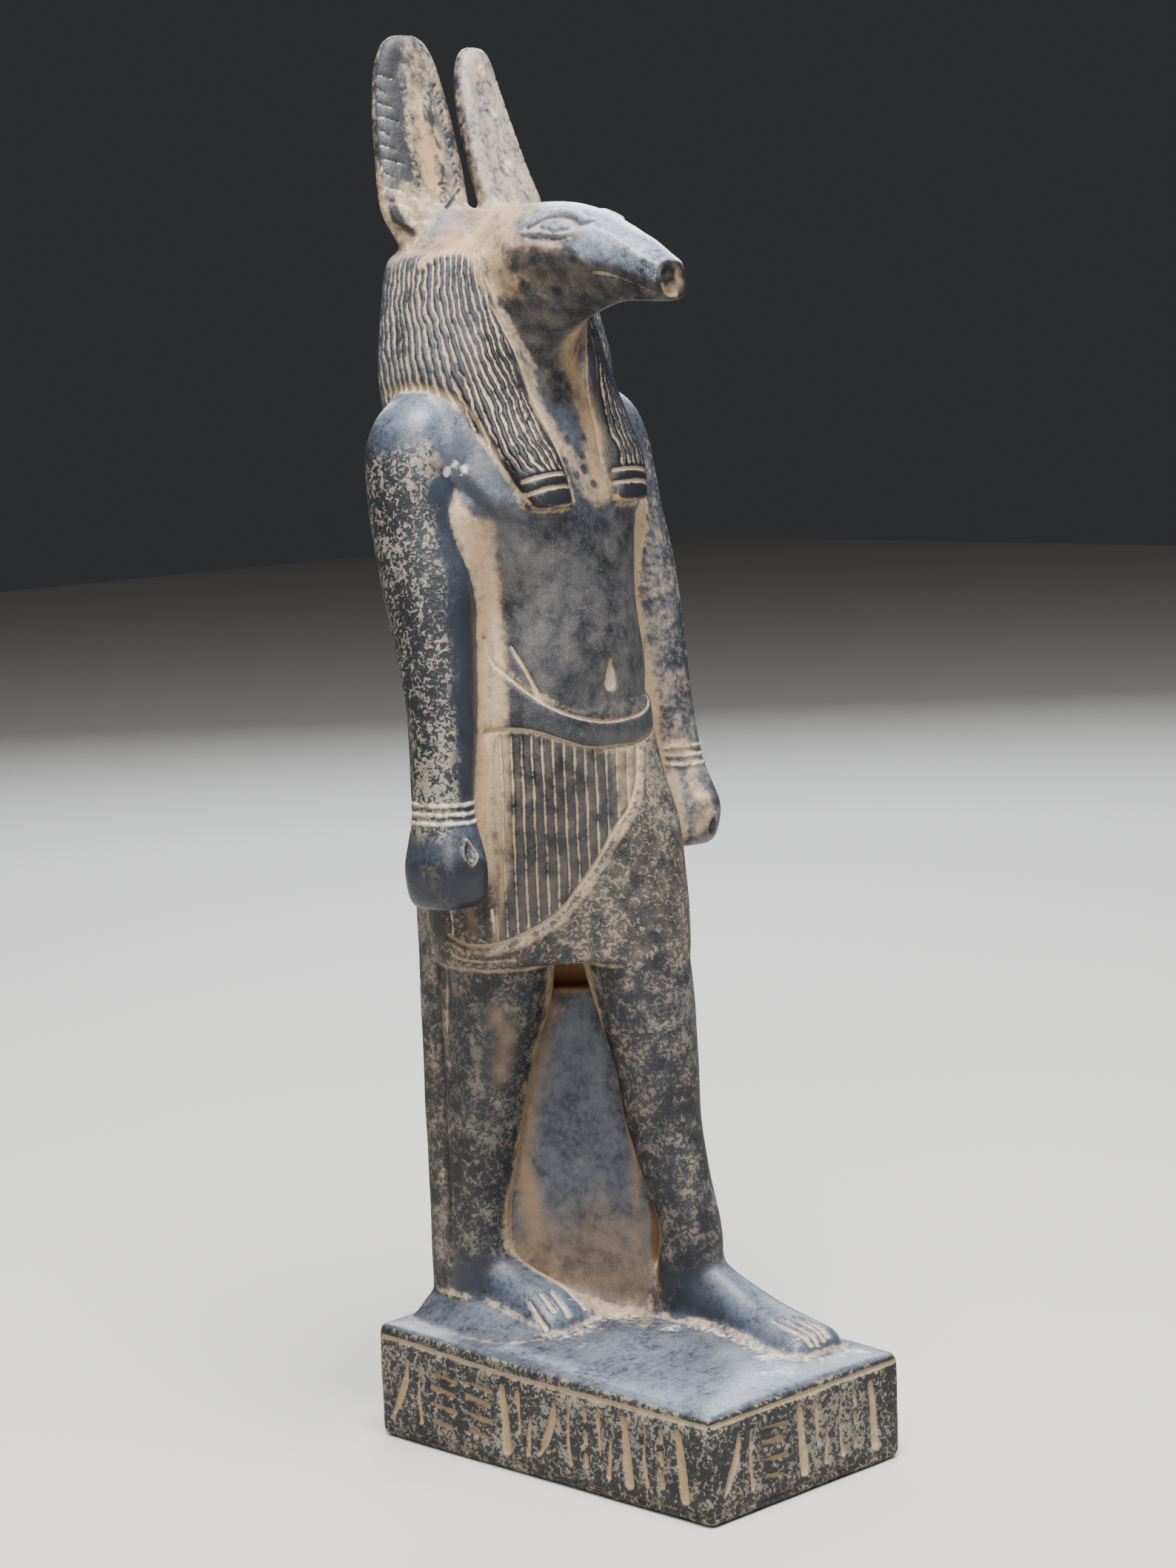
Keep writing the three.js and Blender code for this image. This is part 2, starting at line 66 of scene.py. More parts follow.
def stationsOf(names, *rows):
    return [dict(zip(names.split(), row)) for row in rows]


def sizesAlong(stations, along):
    place = along * (len(stations) - 1)
    first = min(int(place), len(stations) - 2)
    t = place - first
    sizes = {}
    for name in stations[0]:
        near = [stations[min(max(first + step, 0), len(stations) - 1)][name] for step in (-1, 0, 1, 2)]
        before, start, end, after = near
        startSlope = (end - before) / 2
        endSlope = (after - start) / 2
        bend = 2 * (start - end) + startSlope + endSlope
        swing = 3 * (end - start) - 2 * startSlope - endSlope
        sizes[name] = ((bend * t + swing) * t + startSlope) * t + start
    return sizes


def signedPower(value, power):
    return math.copysign(abs(value) ** power, value)


def uprightRing(turn, size, mirror=1):  # a rounded section across an upright form
    across, deep = math.cos(turn), math.sin(turn)
    square = size.get("backSquare", size["square"]) if deep > 0 else size["square"]
    reach = size["back"] if deep > 0 else size["front"]
    offset = Vector((size["side"] * signedPower(across, 2 / square), reach * signedPower(deep, 2 / square), 0))
    offset.rotate(Matrix.Rotation(math.radians(size.get("turn", 0)), 3, "Z"))
    return Vector((mirror * (size["x"] + offset.x), size["y"] + offset.y, size["z"]))


def levelRing(turn, size, mirror=1):  # a rounded section across a form that runs front to back
    across, high = math.cos(turn), math.sin(turn)
    square = size["square"] if high > 0 else size.get("lowSquare", size["square"])
    reach = size["up"] if high > 0 else size["down"]
    return Vector((
        mirror * (size["x"] + size["side"] * signedPower(across, 2 / square)),
        size["y"],
        size["z"] + reach * signedPower(high, 2 / square)))


def loft(stations, ring=uprightRing, around=80, rings=44, mirror=1):
    bm = bmesh.new()
    turnLayer = bm.verts.layers.float.new("turn")
    verts = bmesh.ops.create_circle(bm, cap_ends=False, radius=1, segments=around)["verts"]
    for vert in verts:
        vert[turnLayer] = math.atan2(vert.co.y, vert.co.x)
    for step in range(rings):
        size = sizesAlong(stations, step / (rings - 1))
        for vert in verts:
            vert.co = ring(vert[turnLayer], size, mirror)
        held = set(verts)
        edges = [edge for edge in {e for vert in verts for e in vert.link_edges} if held.issuperset(edge.verts)]
        if step in (0, rings - 1):
            bmesh.ops.contextual_create(bm, geom=edges)
        if step < rings - 1:
            made = bmesh.ops.extrude_edge_only(bm, edges=edges)["geom"]
            verts = [part for part in made if isinstance(part, bmesh.types.BMVert)]
    return bm


class Block:  # the whole carved block while its forms are put together
    def __init__(self):
        self.bm = bmesh.new()
        self.bm.faces.layers.int.new("part")
        self.names = []

    def add(self, name, form):
        if name not in self.names:
            self.names.append(name)
        bmesh.ops.recalc_face_normals(form, faces=form.faces)
        partLayer = form.faces.layers.int.new("part")
        for face in form.faces:
            face[partLayer] = self.names.index(name)
        mesh = bpy.data.meshes.new(name)
        form.to_mesh(mesh)
        form.free()
        self.bm.from_mesh(mesh)
        bpy.data.meshes.remove(mesh)


# Plinth

plinth = {
    "width": 49,
    "depth": 82.1,
    "frontHeight": 18.9,  # at the front edge; the top rises from there
    "rise": 0.0265,  # rise of the top towards the back, for each millimetre
    "crown": 1.5,  # how far the middle line of the top stands above its edges
    "edge": 1.3,
    "cuts": 18,
}


def makePlinth():
    bm = bmesh.new()
    halfWidth, halfDepth = plinth["width"] / 2, plinth["depth"] / 2
    cube = bmesh.ops.create_cube(bm, size=1)["verts"]
    bmesh.ops.scale(bm, vec=(plinth["width"], plinth["depth"], plinth["frontHeight"]), verts=cube)
    bmesh.ops.translate(bm, vec=(0, 0, plinth["frontHeight"] / 2), verts=cube)
    edges = list({edge for vert in cube for edge in vert.link_edges})
    made = bmesh.ops.bevel(
        bm, geom=edges, offset=plinth["edge"], affect="EDGES", segments=4, profile=0.5, material=-1)
    faces = {face for vert in made["verts"] for face in vert.link_faces}
    edges = list({edge for face in faces for edge in face.edges})
    bmesh.ops.subdivide_edges(bm, edges=edges, cuts=plinth["cuts"], use_grid_fill=True)
    for vert in bm.verts:
        x, y, z = vert.co
        share = max(0, z / plinth["frontHeight"])
        crown = plinth["crown"] * max(0, 1 - (x / halfWidth) ** 2) * min(1, 4 * (1 - (y / halfDepth) ** 2))
        vert.co.z = z + share * (plinth["rise"] * (y + halfDepth) + crown * share ** 6)
    return bm


bankStations = stationsOf(
    "z x y side front back square",
    (18.5, 0, 30, 22.5, 24, 10.8, 4),
    (20.6, 0, 30, 21.5, 23, 10.2, 4),
    (22.7, 0, 31, 18.6, 21, 8.8, 4),
    (25.6, 0, 32, 15.2, 9, 6.0, 5))

footGround = stationsOf(  # the swell of stone between the feet and along the left one
    "z x y side front back square",
    (18.5, 3, 2, 17, 33, 30, 2.6),
    (21.3, 4, 3, 12, 27, 27, 2.6),
    (22.4, 4, 5, 7, 20, 24, 2.4))


# Pillar and the stone left between the legs

pillar = {"halfWidth": 14.5, "front": 29, "back": 37, "top": 204, "edge": 1.0}


def makePillar():
    bm = bmesh.new()
    cube = bmesh.ops.create_cube(bm, size=1)["verts"]
    deep, tall = pillar["back"] - pillar["front"], pillar["top"] - 16
    bmesh.ops.scale(bm, vec=(2 * pillar["halfWidth"], deep, tall), verts=cube)
    bmesh.ops.translate(bm, vec=(0, pillar["back"] - deep / 2, 16 + tall / 2), verts=cube)
    edges = list({edge for vert in cube for edge in vert.link_edges})
    bmesh.ops.bevel(
        bm, geom=edges, offset=pillar["edge"], affect="EDGES", segments=3, profile=0.5, material=-1)
    return bm


web = {
    "top": 81, "left": 12.5, "right": -5.5, "back": 32.5, "hollow": (5.6, 18.3), "rim": (7.5, 2),
    "upperSetBack": 3, "upperTop": 91.5, "foot": 17,
}


def makeWeb():
    bm = bmesh.new()
    for bottom, top, setBack in (
            (web["foot"], web["top"], 0), (web["top"] - 1, web["upperTop"], web["upperSetBack"])):
        start = Vector((web["right"] + 0.1 + setBack, 26, bottom))
        bend = Vector((web["hollow"][0] + setBack, web["hollow"][1] + setBack, bottom))
        end = Vector((web["rim"][0] + setBack, web["rim"][1] + setBack, bottom))
        outline = []
        for step in range(17):  # the hollowed face
            t = step / 16
            outline.append((1 - t) ** 2 * start + 2 * t * (1 - t) * bend + t * t * end)
        outline.append(Vector((web["left"], 3 + setBack, bottom)))
        outline.append(Vector((web["left"], web["back"], bottom)))
        outline.append(Vector((web["right"], web["back"], bottom)))
        verts = [bm.verts.new(point) for point in outline]
        face = bm.faces.new(verts)
        made = bmesh.ops.extrude_face_region(bm, geom=[face], use_keep_orig=True)["geom"]
        lifted = [part for part in made if isinstance(part, bmesh.types.BMVert)]
        bmesh.ops.translate(bm, vec=(0, 0, top - bottom), verts=lifted)
    return bm


# Legs and feet

legNames = "z x y side front back square"
rightLeg = stationsOf(
    legNames,
    (14, -9.0, 29.0, 5.8, 6.0, 6.0, 2.2),
    (27, -9.1, 29.0, 5.6, 6.0, 6.0, 2.2),
    (38, -9.3, 29.0, 5.2, 5.4, 5.6, 2.2),
    (47, -8.5, 28.8, 6.0, 6.4, 6.4, 2.2),
    (57, -7.5, 28.3, 7.0, 7.3, 7.0, 2.2),
    (70, -7.2, 26.0, 7.8, 8.4, 8.0, 2.2),
    (82, -7.4, 22.6, 8.8, 9.8, 9.5, 2.1),
    (96, -7.8, 21.5, 9.6, 10.5, 10.0, 2.1))
leftLeg = stationsOf(
    legNames,
    (14, 11.4, -3.0, 5.4, 6.0, 6.4, 2.2),
    (27, 11.3, -3.4, 5.4, 6.4, 6.2, 2.2),
    (38, 10.8, -4.9, 5.2, 5.6, 5.6, 2.2),
    (47, 10.3, -2.8, 5.6, 5.8, 6.2, 2.2),
    (57, 9.8, -0.3, 6.4, 6.6, 7.0, 2.2),
    (69, 9.4, 1.0, 7.3, 7.6, 7.6, 2.2),
    (82, 9.2, 3.6, 9.0, 9.4, 9.4, 2.1),
    (96, 9.0, 7.0, 10.0, 10.6, 10.0, 2.1))

footNames = "y x z side up down square"
rightFoot = stationsOf(
    footNames,
    (7.6, -5.6, 21.0, 5.0, 2.2, 3, 2.6),
    (9.6, -5.7, 20.5, 6.8, 5.0, 3, 2.8),
    (14, -6.3, 20.5, 6.9, 7.6, 3, 2.6),
    (20, -7.3, 20.5, 6.2, 10.4, 3, 2.3),
    (27, -8.6, 20.5, 5.6, 14.0, 3, 2.2),
    (33, -9.0, 20.5, 5.2, 12.0, 3, 2.2))
leftFoot = stationsOf(
    footNames,
    (-34.0, 12.6, 19.5, 4.8, 2.4, 3, 2.6),
    (-32.0, 12.6, 19.2, 6.5, 4.6, 3, 2.8),
    (-27, 12.8, 19.2, 6.6, 6.0, 3, 2.6),
    (-20, 12.6, 19.5, 6.0, 8.2, 3, 2.4),
    (-12.5, 12.0, 20.0, 5.4, 11.6, 3, 2.3),
    (-5, 11.4, 20.5, 5.3, 15.0, 3, 2.2),
    (3.4, 11.2, 20.5, 4.4, 8.0, 3, 2.2))


# Kilt and belt: the cloth is stretched round both thighs, so a section is the hull of two circles

kiltStations = stationsOf(
    "z rx ry rr lx ly lr",
    (87.5, -8.2, 22.2, 11.2, 9.3, 5.4, 10.4),
    (98, -7.8, 21.0, 13.2, 8.9, 8.2, 12.5),
    (110, -6.3, 19.0, 15.8, 7.4, 12.0, 15.3),
    (121, -3.6, 17.3, 17.4, 4.2, 15.4, 17.1),
    (133, -1.4, 16.8, 17.7, 1.4, 16.8, 17.7))

belt = {
    "middle": 17,  # y of the upright line that the belt goes round
    "lower": 126, "lowerRise": 4.6, "riseFrom": 10, "riseTo": 60,  # the lower edge climbs between these turns
    "upper": 130.2, "upperRise": 11.4, "upperTurn": 70.5,
    "farShare": 0.45,  # how much of the climb is on the figure's left side
    "proud": 0.45, "taper": 0.07,
    "along": 0.92,  # the height of the kilt that its section is taken from
}


def kiltPoint(turn, size, grow=0):
    right = Vector((size["rx"], size["ry"]))
    left = Vector((size["lx"], size["ly"]))
    step = left - right
    heading = math.atan2(step.y, step.x)
    touch = math.acos((size["rr"] - size["lr"]) / step.length)
    arc = 3 / 8  # share of the turn that each thigh's circle takes
    turn %= 1

    def onCircle(middle, radius, angle):
        return middle + (radius + grow) * Vector((math.cos(heading + angle), math.sin(heading + angle)))

    def onRight(part):
        return onCircle(right, size["rr"], touch + part * (2 * math.pi - 2 * touch))

    def onLeft(part):
        return onCircle(left, size["lr"], -touch + part * 2 * touch)

    if turn < arc:
        flat = onRight(turn / arc)
    elif turn < 0.5:
        flat = onRight(1).lerp(onLeft(0), (turn - arc) / (0.5 - arc))
    elif turn < 0.5 + arc:
        flat = onLeft((turn - 0.5) / arc)
    else:
        flat = onLeft(1).lerp(onRight(0), (turn - 0.5 - arc) / (0.5 - arc))
    return flat


def kiltRing(turn, size, mirror=1):
    flat = kiltPoint(turn / (2 * math.pi), size)
    return Vector((flat.x, flat.y, size["z"]))


def smoothStep(value, start, end):
    t = np.clip((value - start) / (end - start), 0, 1)
    return t * t * (3 - 2 * t)


def beltRing(turn, size, mirror=1):
    kilt = sizesAlong(kiltStations, belt["along"])
    flat = kiltPoint(turn / (2 * math.pi), kilt, belt["proud"] * size["grow"])
    fromFront = math.degrees(math.atan2(abs(flat.x), belt["middle"] - flat.y))
    climb = 1 if flat.x < 0 else belt["farShare"]
    climb += (1 - climb) * smoothStep(fromFront, 90, 180)
    lower = belt["lower"] + climb * belt["lowerRise"] * smoothStep(fromFront, belt["riseFrom"], belt["riseTo"])
    upper = belt["upper"] + climb * belt["upperRise"] * min(fromFront / belt["upperTurn"], 1.15) ** 2
    leaning = 1 - belt["taper"] * size["up"] * smoothStep(fromFront, 20, 90)
    return Vector((flat.x * leaning, flat.y, lower + size["up"] * (upper - lower)))


beltStations = stationsOf("up grow", (0, 1), (0.33, 1), (0.66, 1), (1, 1))


# Torso, neck and head

bodyNames = "z x y side front back square"
torso = stationsOf(
    bodyNames,
    (124, 0, 17, 16.6, 16.4, 12.0, 2.3),
    (138, 0, 17, 17.4, 18.0, 13.0, 2.4),
    (150, 0, 17, 15.8, 17.3, 13.0, 2.4),
    (158, 0, 17, 17.2, 16.0, 13.2, 2.4),
    (164, 0, 17.2, 18.4, 15.5, 13.0, 2.4),
    (169, 0, 17.6, 21.4, 15.3, 13.0, 2.4),
    (178, 0, 19, 22.0, 13.8, 12.5, 2.3),
    (186, 0, 21, 18.0, 12.5, 11.5, 2.2),
    (192, 0, 22, 12.0, 11.5, 10.0, 2.0))
neck = stationsOf(
    bodyNames,
    (180, 0, 19, 11.5, 12.0, 10, 2.2),
    (187, 0, 19, 9.9, 10.6, 10, 2.2),
    (192, 0, 19, 9.2, 9.7, 10, 2.2),
    (196, 0, 19, 9.2, 11.4, 10, 2.1),
    (199.5, 0, 19, 9.6, 14.8, 10, 2.0),
    (203, 0, 19, 10.0, 19.0, 10, 1.9),
    (206, 0, 19, 10.2, 21.0, 10, 1.9))
head = stationsOf(
    "y x z side up down square lowSquare",
    (-19.3, 0, 205.3, 2.9, 2.3, 2.8, 2.6, 2.6),
    (-18.4, 0, 205.9, 3.8, 3.1, 3.9, 2.4, 2.2),
    (-13, 0, 208.0, 4.9, 4.9, 5.9, 2.1, 1.7),
    (-8, 0, 209.3, 6.1, 5.9, 7.0, 2.1, 1.55),
    (-3, 0, 210.4, 7.7, 7.2, 9.0, 2.1, 1.5),
    (3, 0, 210.9, 9.6, 8.4, 11.6, 2.1, 1.55),
    (10, 0, 210.0, 10.8, 10.0, 12.4, 2.1, 1.8),
    (20, 0, 208.0, 11.2, 11.8, 11.0, 2.1, 2.1))


# Arms with the fists closed round short rods

armStations = stationsOf(
    bodyNames,
    (100.8, 28.9, 12.2, 4.6, 5.4, 5.2, 2.7),
    (102.6, 29.0, 12.0, 5.6, 6.9, 6.1, 2.9),
    (108, 29.4, 11.8, 5.9, 7.4, 6.4, 2.9),
    (113, 29.2, 12.0, 5.2, 6.4, 5.8, 2.5),
    (118, 28.7, 12.3, 4.7, 5.2, 5.2, 2.2),
    (130, 27.0, 13.5, 5.2, 5.8, 5.8, 2.2),
    (142, 26.0, 15.3, 6.2, 6.8, 6.8, 2.2),
    (154, 25.2, 17.5, 7.1, 7.8, 7.8, 2.2),
    (166, 24.6, 20.4, 7.4, 8.0, 7.8, 2.2),
    (177, 23.4, 22.0, 7.9, 8.4, 8.0, 2.2),
    (184, 21.6, 22.4, 7.0, 7.2, 7.0, 2.1),
    (188, 19.6, 22.6, 4.2, 4.0, 4.0, 2.0))
armWeb = stationsOf(  # stone left between an arm and the body
    bodyNames,
    (104, 22, 17, 6, 7, 6, 3),
    (130, 20, 18, 6, 8, 6, 3),
    (150, 19, 20, 6, 8.5, 7, 3),
    (162, 19, 21.0, 6, 10.2, 7, 3),
    (168, 19, 21.5, 6, 10.5, 7, 3),
    (173, 19, 22, 7, 6, 7, 3))
shoulder = stationsOf(  # runs the top of the arm on into the chest
    bodyNames,
    (168, 19, 20, 5, 4, 5, 2.2),
    (174, 20.5, 20, 6, 7.2, 5, 2.2),
    (180, 20, 20.5, 6.5, 8, 5, 2.2),
    (186.5, 17.5, 21.5, 5, 6, 5, 2.2))

arm = {"lift": {-1: 0, 1: 3.3}, "rodRadius": 2.5, "rodLength": 7, "rodPlace": (29, 7.6, 108)}


def makeArm(mirror):
    top, hand = armStations[-1]["z"], armStations[0]["z"]
    lift = arm["lift"][mirror]
    stations = [
        {**station, "z": station["z"] + lift * (top - station["z"]) / (top - hand)} for station in armStations]
    bm = loft(stations, rings=64, mirror=mirror)
    x, y, z = arm["rodPlace"]
    turned = Matrix.Translation((mirror * x, y, z + lift)) @ Matrix.Rotation(math.pi / 2, 4, "X")
    bmesh.ops.create_cone(
        bm, cap_ends=True, segments=32, radius1=arm["rodRadius"], radius2=arm["rodRadius"],
        depth=arm["rodLength"], matrix=turned)
    return bm


# Wig and ears

wig = stationsOf(
    "z x y side front back square backSquare",
    (172, 0, 24.5, 20.0, 13.0, 11.2, 2.6, 4),
    (186, 0, 24.5, 22.0, 14.5, 11.6, 2.7, 4),
    (193, 0, 25.0, 22.2, 14.5, 11.1, 2.8, 4),
    (200, 0, 25.5, 21.1, 13.4, 10.8, 2.8, 4),
    (207, 0, 26.0, 19.6, 13.0, 11.0, 2.8, 3.6),
    (211, 0, 26.3, 18.2, 12.6, 10.6, 2.7, 3.4),
    (213, 0, 26.5, 15.2, 9.8, 10.4, 2.5, 3.2),
    (216, 0, 26.8, 12.8, 6.2, 9.6, 2.4, 3.0),
    (219.5, 0, 27, 10.2, 3.4, 8.2, 2.4, 2.8))
lappet = stationsOf(
    "z x y side front back square turn",
    (168, 9.2, 4.6, 4.6, 4.4, 4, 3.0, 5),
    (175, 10.4, 6.6, 5.6, 4.4, 4, 2.8, 12),
    (184, 12.1, 11.9, 6.6, 4.2, 4, 2.6, 25),
    (193, 14.0, 14.8, 7.0, 2.4, 4, 2.5, 42),
    (202, 15.0, 17.6, 6.0, 1.2, 4, 2.4, 50),
    (210, 14.6, 19.4, 5.0, 0.6, 4, 2.3, 52))
earStations = stationsOf(
    "z x y side front back square turn",
    (208, 9.6, 27.5, 5.2, 2.6, 3.0, 2.3, 12),
    (214.5, 10.0, 28.9, 7.2, 3.0, 3.0, 2.4, 12),
    (220, 10.6, 30.0, 8.7, 2.8, 3.0, 2.5, 12),
    (229, 9.6, 32.4, 8.3, 2.4, 2.8, 2.5, 14),
    (237, 8.9, 34.4, 7.4, 2.2, 2.5, 2.5, 15),
    (244, 8.5, 35.8, 6.2, 1.9, 2.2, 2.5, 15),
    (248.2, 8.4, 36.2, 4.4, 1.6, 1.8, 2.5, 15),
    (250, 8.4, 36.3, 2.4, 1.0, 1.1, 2.3, 15))
earDrop = {-1: 0, 1: 1.6}


def makeEar(mirror):
    foot, tip = earStations[0]["z"], earStations[-1]["z"]
    stations = [
        {**station, "z": station["z"] - earDrop[mirror] * (station["z"] - foot) / (tip - foot)}
        for station in earStations]
    return loft(stations, rings=56, mirror=mirror)


def makeBlock():
    block = Block()
    block.add("plinth", makePlinth())
    block.add("plinth", loft(bankStations, rings=16))
    block.add("plinth", loft(footGround, rings=16))
    block.add("pillar", makePillar())
    block.add("web", makeWeb())
    block.add("kilt", loft(kiltStations, kiltRing, around=96))
    block.add("belt", loft(beltStations, beltRing, around=96, rings=12))
    block.add("torso", loft(torso, around=96))
    block.add("leg", loft(rightLeg))
    block.add("leg", loft(leftLeg))
    block.add("foot", loft(rightFoot, levelRing))
    block.add("foot", loft(leftFoot, levelRing))
    block.add("neck", loft(neck))
    block.add("head", loft(head, levelRing, around=96, rings=60))
    block.add("wig", loft(wig, around=120))
    for mirror in (-1, 1):
        block.add("arm", makeArm(mirror))
        block.add("ear", makeEar(mirror))
        block.add("armWeb", loft(armWeb, mirror=mirror))
        block.add("shoulder", loft(shoulder, mirror=mirror))
        block.add("lappet", loft(lappet, mirror=mirror))
    return block


print("forms")
block = makeBlock()
print(len(block.bm.faces), "faces in the forms")


# Skinning: one watertight surface over the joined forms

def skinOver(block):
    mesh = bpy.data.meshes.new("forms")
    block.bm.to_mesh(mesh)
    rough = bpy.data.objects.new("forms", mesh)
    bpy.context.scene.collection.objects.link(rough)
    remesh = rough.modifiers.new("Remesh", "REMESH")
    remesh.mode = "VOXEL"
    remesh.voxel_size = meshing["voxel"]
    skinned = bpy.data.meshes.new_from_object(rough.evaluated_get(bpy.context.evaluated_depsgraph_get()))
    bpy.data.objects.remove(rough)
    bpy.data.meshes.remove(mesh)
    return skinned


class Surface:  # the skin's points as arrays, with what is known at each of them
    def __init__(self, mesh):
        self.mesh = mesh
        self.points = np.zeros(len(mesh.vertices) * 3, np.float32)
        mesh.vertices.foreach_get("co", self.points)
        self.points = self.points.reshape(-1, 3).astype(float)
        ends = np.zeros(len(mesh.edges) * 2, np.int32)
        mesh.edges.foreach_get("vertices", ends)
        self.starts, self.ends = ends.reshape(-1, 2).T
        self.count = len(self.points)
        self.degree = np.bincount(self.starts, minlength=self.count) + np.bincount(self.ends, minlength=self.count)
        self.measure()

    def measure(self):  # normals at the present points
        self.mesh.vertices.foreach_set("co", self.points.astype(np.float32).ravel())
        self.mesh.update()
        normals = np.zeros(self.count * 3, np.float32)
        self.mesh.vertices.foreach_get("normal", normals)
        self.normals = normals.reshape(-1, 3).astype(float)

    def around(self, values):  # the mean of each point's neighbours
        total = np.bincount(self.starts, values[self.ends], self.count)
        total += np.bincount(self.ends, values[self.starts], self.count)
        return total / self.degree

    def spread(self, values, passes):
        values = values.astype(float)
        for _ in range(passes):
            values = 0.5 * values + 0.5 * self.around(values)
        return values

    def soften(self, passes, where=1.0):
        for _ in range(passes):
            mean = np.stack([self.around(self.points[:, axis]) for axis in range(3)], 1)
            self.points += 0.5 * np.reshape(where, (-1, 1)) * (mean - self.points)
        self.measure()

    def hollowness(self):  # above 0 where the surface is concave
        mean = np.stack([self.around(self.points[:, axis]) for axis in range(3)], 1)
        return ((mean - self.points) * self.normals).sum(1)

    def raiseBy(self, heights):
        self.points += self.normals * heights[:, None]
        self.measure()


def partShares(surface, block):  # how far each point belongs to each form, with soft borders
    block.bm.faces.ensure_lookup_table()
    layer = block.bm.faces.layers.int["part"]
    labels = [face[layer] for face in block.bm.faces]
    tree = BVHTree.FromBMesh(block.bm)
    nearest = np.array([labels[tree.find_nearest(point)[2]] for point in surface.points.tolist()])
    return {name: surface.spread(nearest == index, 6) for index, name in enumerate(block.names)}, tree


print("skin")
surface = Surface(skinOver(block))
print(surface.count, "points in the skin")
surface.soften(meshing["softening"])
creases = surface.spread(np.clip(surface.hollowness() / (0.02 * meshing["voxel"]), 0, 1), 4)
surface.soften(meshing["fillet"], np.clip(creases * 2, 0, 1))
shares, tree = partShares(surface, block)
merged = np.zeros(surface.count)
for first, second in (("leg", "foot"), ("arm", "shoulder"), ("torso", "shoulder"), ("head", "neck")):
    merged = np.maximum(merged, 4 * surface.spread(shares[first], 50) * surface.spread(shares[second], 50))
surface.soften(meshing["joining"], smoothStep(merged, 0.05, 0.5))
creases *= 1 - smoothStep(merged, 0.02, 0.3)


# Marks: grooves and ridges along short routes over the skin, and the tones round them: what lies on the stone, and
# painted shade and painted sheen

# the bluish haze is partly a dust film and partly painted sheen and painted light on top-facing and shaded surfaces
# the dark tone is partly dark stone and partly painted shade in recesses, grooves and under parts
# the rust and stain tones are partly orange-brown dirt and partly painted shade, sand darkened in hollows and under
# parts
toneNames = ("sand", "rust", "peen", "polish", "chalk", "dark", "dust", "haze", "stain")


def curveThrough(route, wide, spacing=0.3):
    stations = stationsOf("x y z", *route)
    length = sum(math.dist(start, end) for start, end in zip(route, route[1:]))
    steps = max(2, round(length / spacing))
    points = np.array([list(sizesAlong(stations, step / steps).values()) for step in range(steps + 1)])
    widths = np.interp(np.linspace(0, 1, steps + 1), np.linspace(0, 1, np.size(wide)), np.ravel(wide))
    return points, widths


class Marks:
    def __init__(self, surface):
        self.surface = surface
        self.order = surface.points[:, 2].argsort()
        self.heights = surface.points[self.order, 2]
        self.cut = np.zeros(surface.count)
        self.rise = np.zeros(surface.count)
        self.tones = {name: np.zeros(surface.count) for name in toneNames}

    def near(self, route, reach):
        lowest, highest = route.min(0) - reach, route.max(0) + reach
        found = self.order[slice(*np.searchsorted(self.heights, (lowest[2], highest[2])))]
        spots = self.surface.points[found, :2]
        return found[((spots > lowest[:2]) & (spots < highest[:2])).all(1)]

    def stroke(self, route, wide, depth=0, soft=0.45, **tones):  # depth above 0 stands proud
        points, widths = curveThrough(route, wide, 0.3 if np.max(wide) < 4 else 1.0)
        for first in range(0, len(points) - 1, 10):
            stretch, half = points[first:first + 11], widths[first:first + 11] / 2
            found = self.near(stretch, half.max() + soft + 1.2)
            if not len(found):
                continue
            spots, normals = self.surface.points[found], self.surface.normals[found]
            nearest = ((stretch[:, None] - spots) ** 2).sum(2).argmin(1)
            lift = ((stretch - spots[nearest]) * normals[nearest]).sum(1)
            laid = stretch - lift[:, None] * normals[nearest]
            away = np.sqrt(((spots[:, None] - laid) ** 2).sum(2)) - half
            share = 1 - smoothStep(away.min(1), -soft / 2, soft / 2)
            if depth < 0:
                self.cut[found] = np.minimum(self.cut[found], depth * share)
            elif depth > 0:
                self.rise[found] = np.maximum(self.rise[found], depth * share)
            self.tone(found, share, **tones)

    def dab(self, place, wide, depth=0, soft=None, **tones):
        x, y, z = place
        self.stroke(((x, y, z), (x, y, z + 0.1)), wide, depth, wide * 0.5 if soft is None else soft, **tones)

    def tone(self, where, share, **tones):  # a strength below 0 takes a tone away
        for name, strength in tones.items():
            tone = self.tones[name]
            if strength < 0:
                tone[where] *= 1 + strength * share
            else:
                tone[where] = np.maximum(tone[where], strength * share)

    def both(self, route, *settings, lift=0, **tones):  # on the figure's right side and on its left
        for side in (-1, 1):
            raised = lift if side > 0 else 0
            self.stroke([(-side * x, y, z + raised) for x, y, z in route], *settings, **tones)


shelterRays = {"count": 48, "reach": 30, "start": 1.0, "every": 25, "spread": 60}


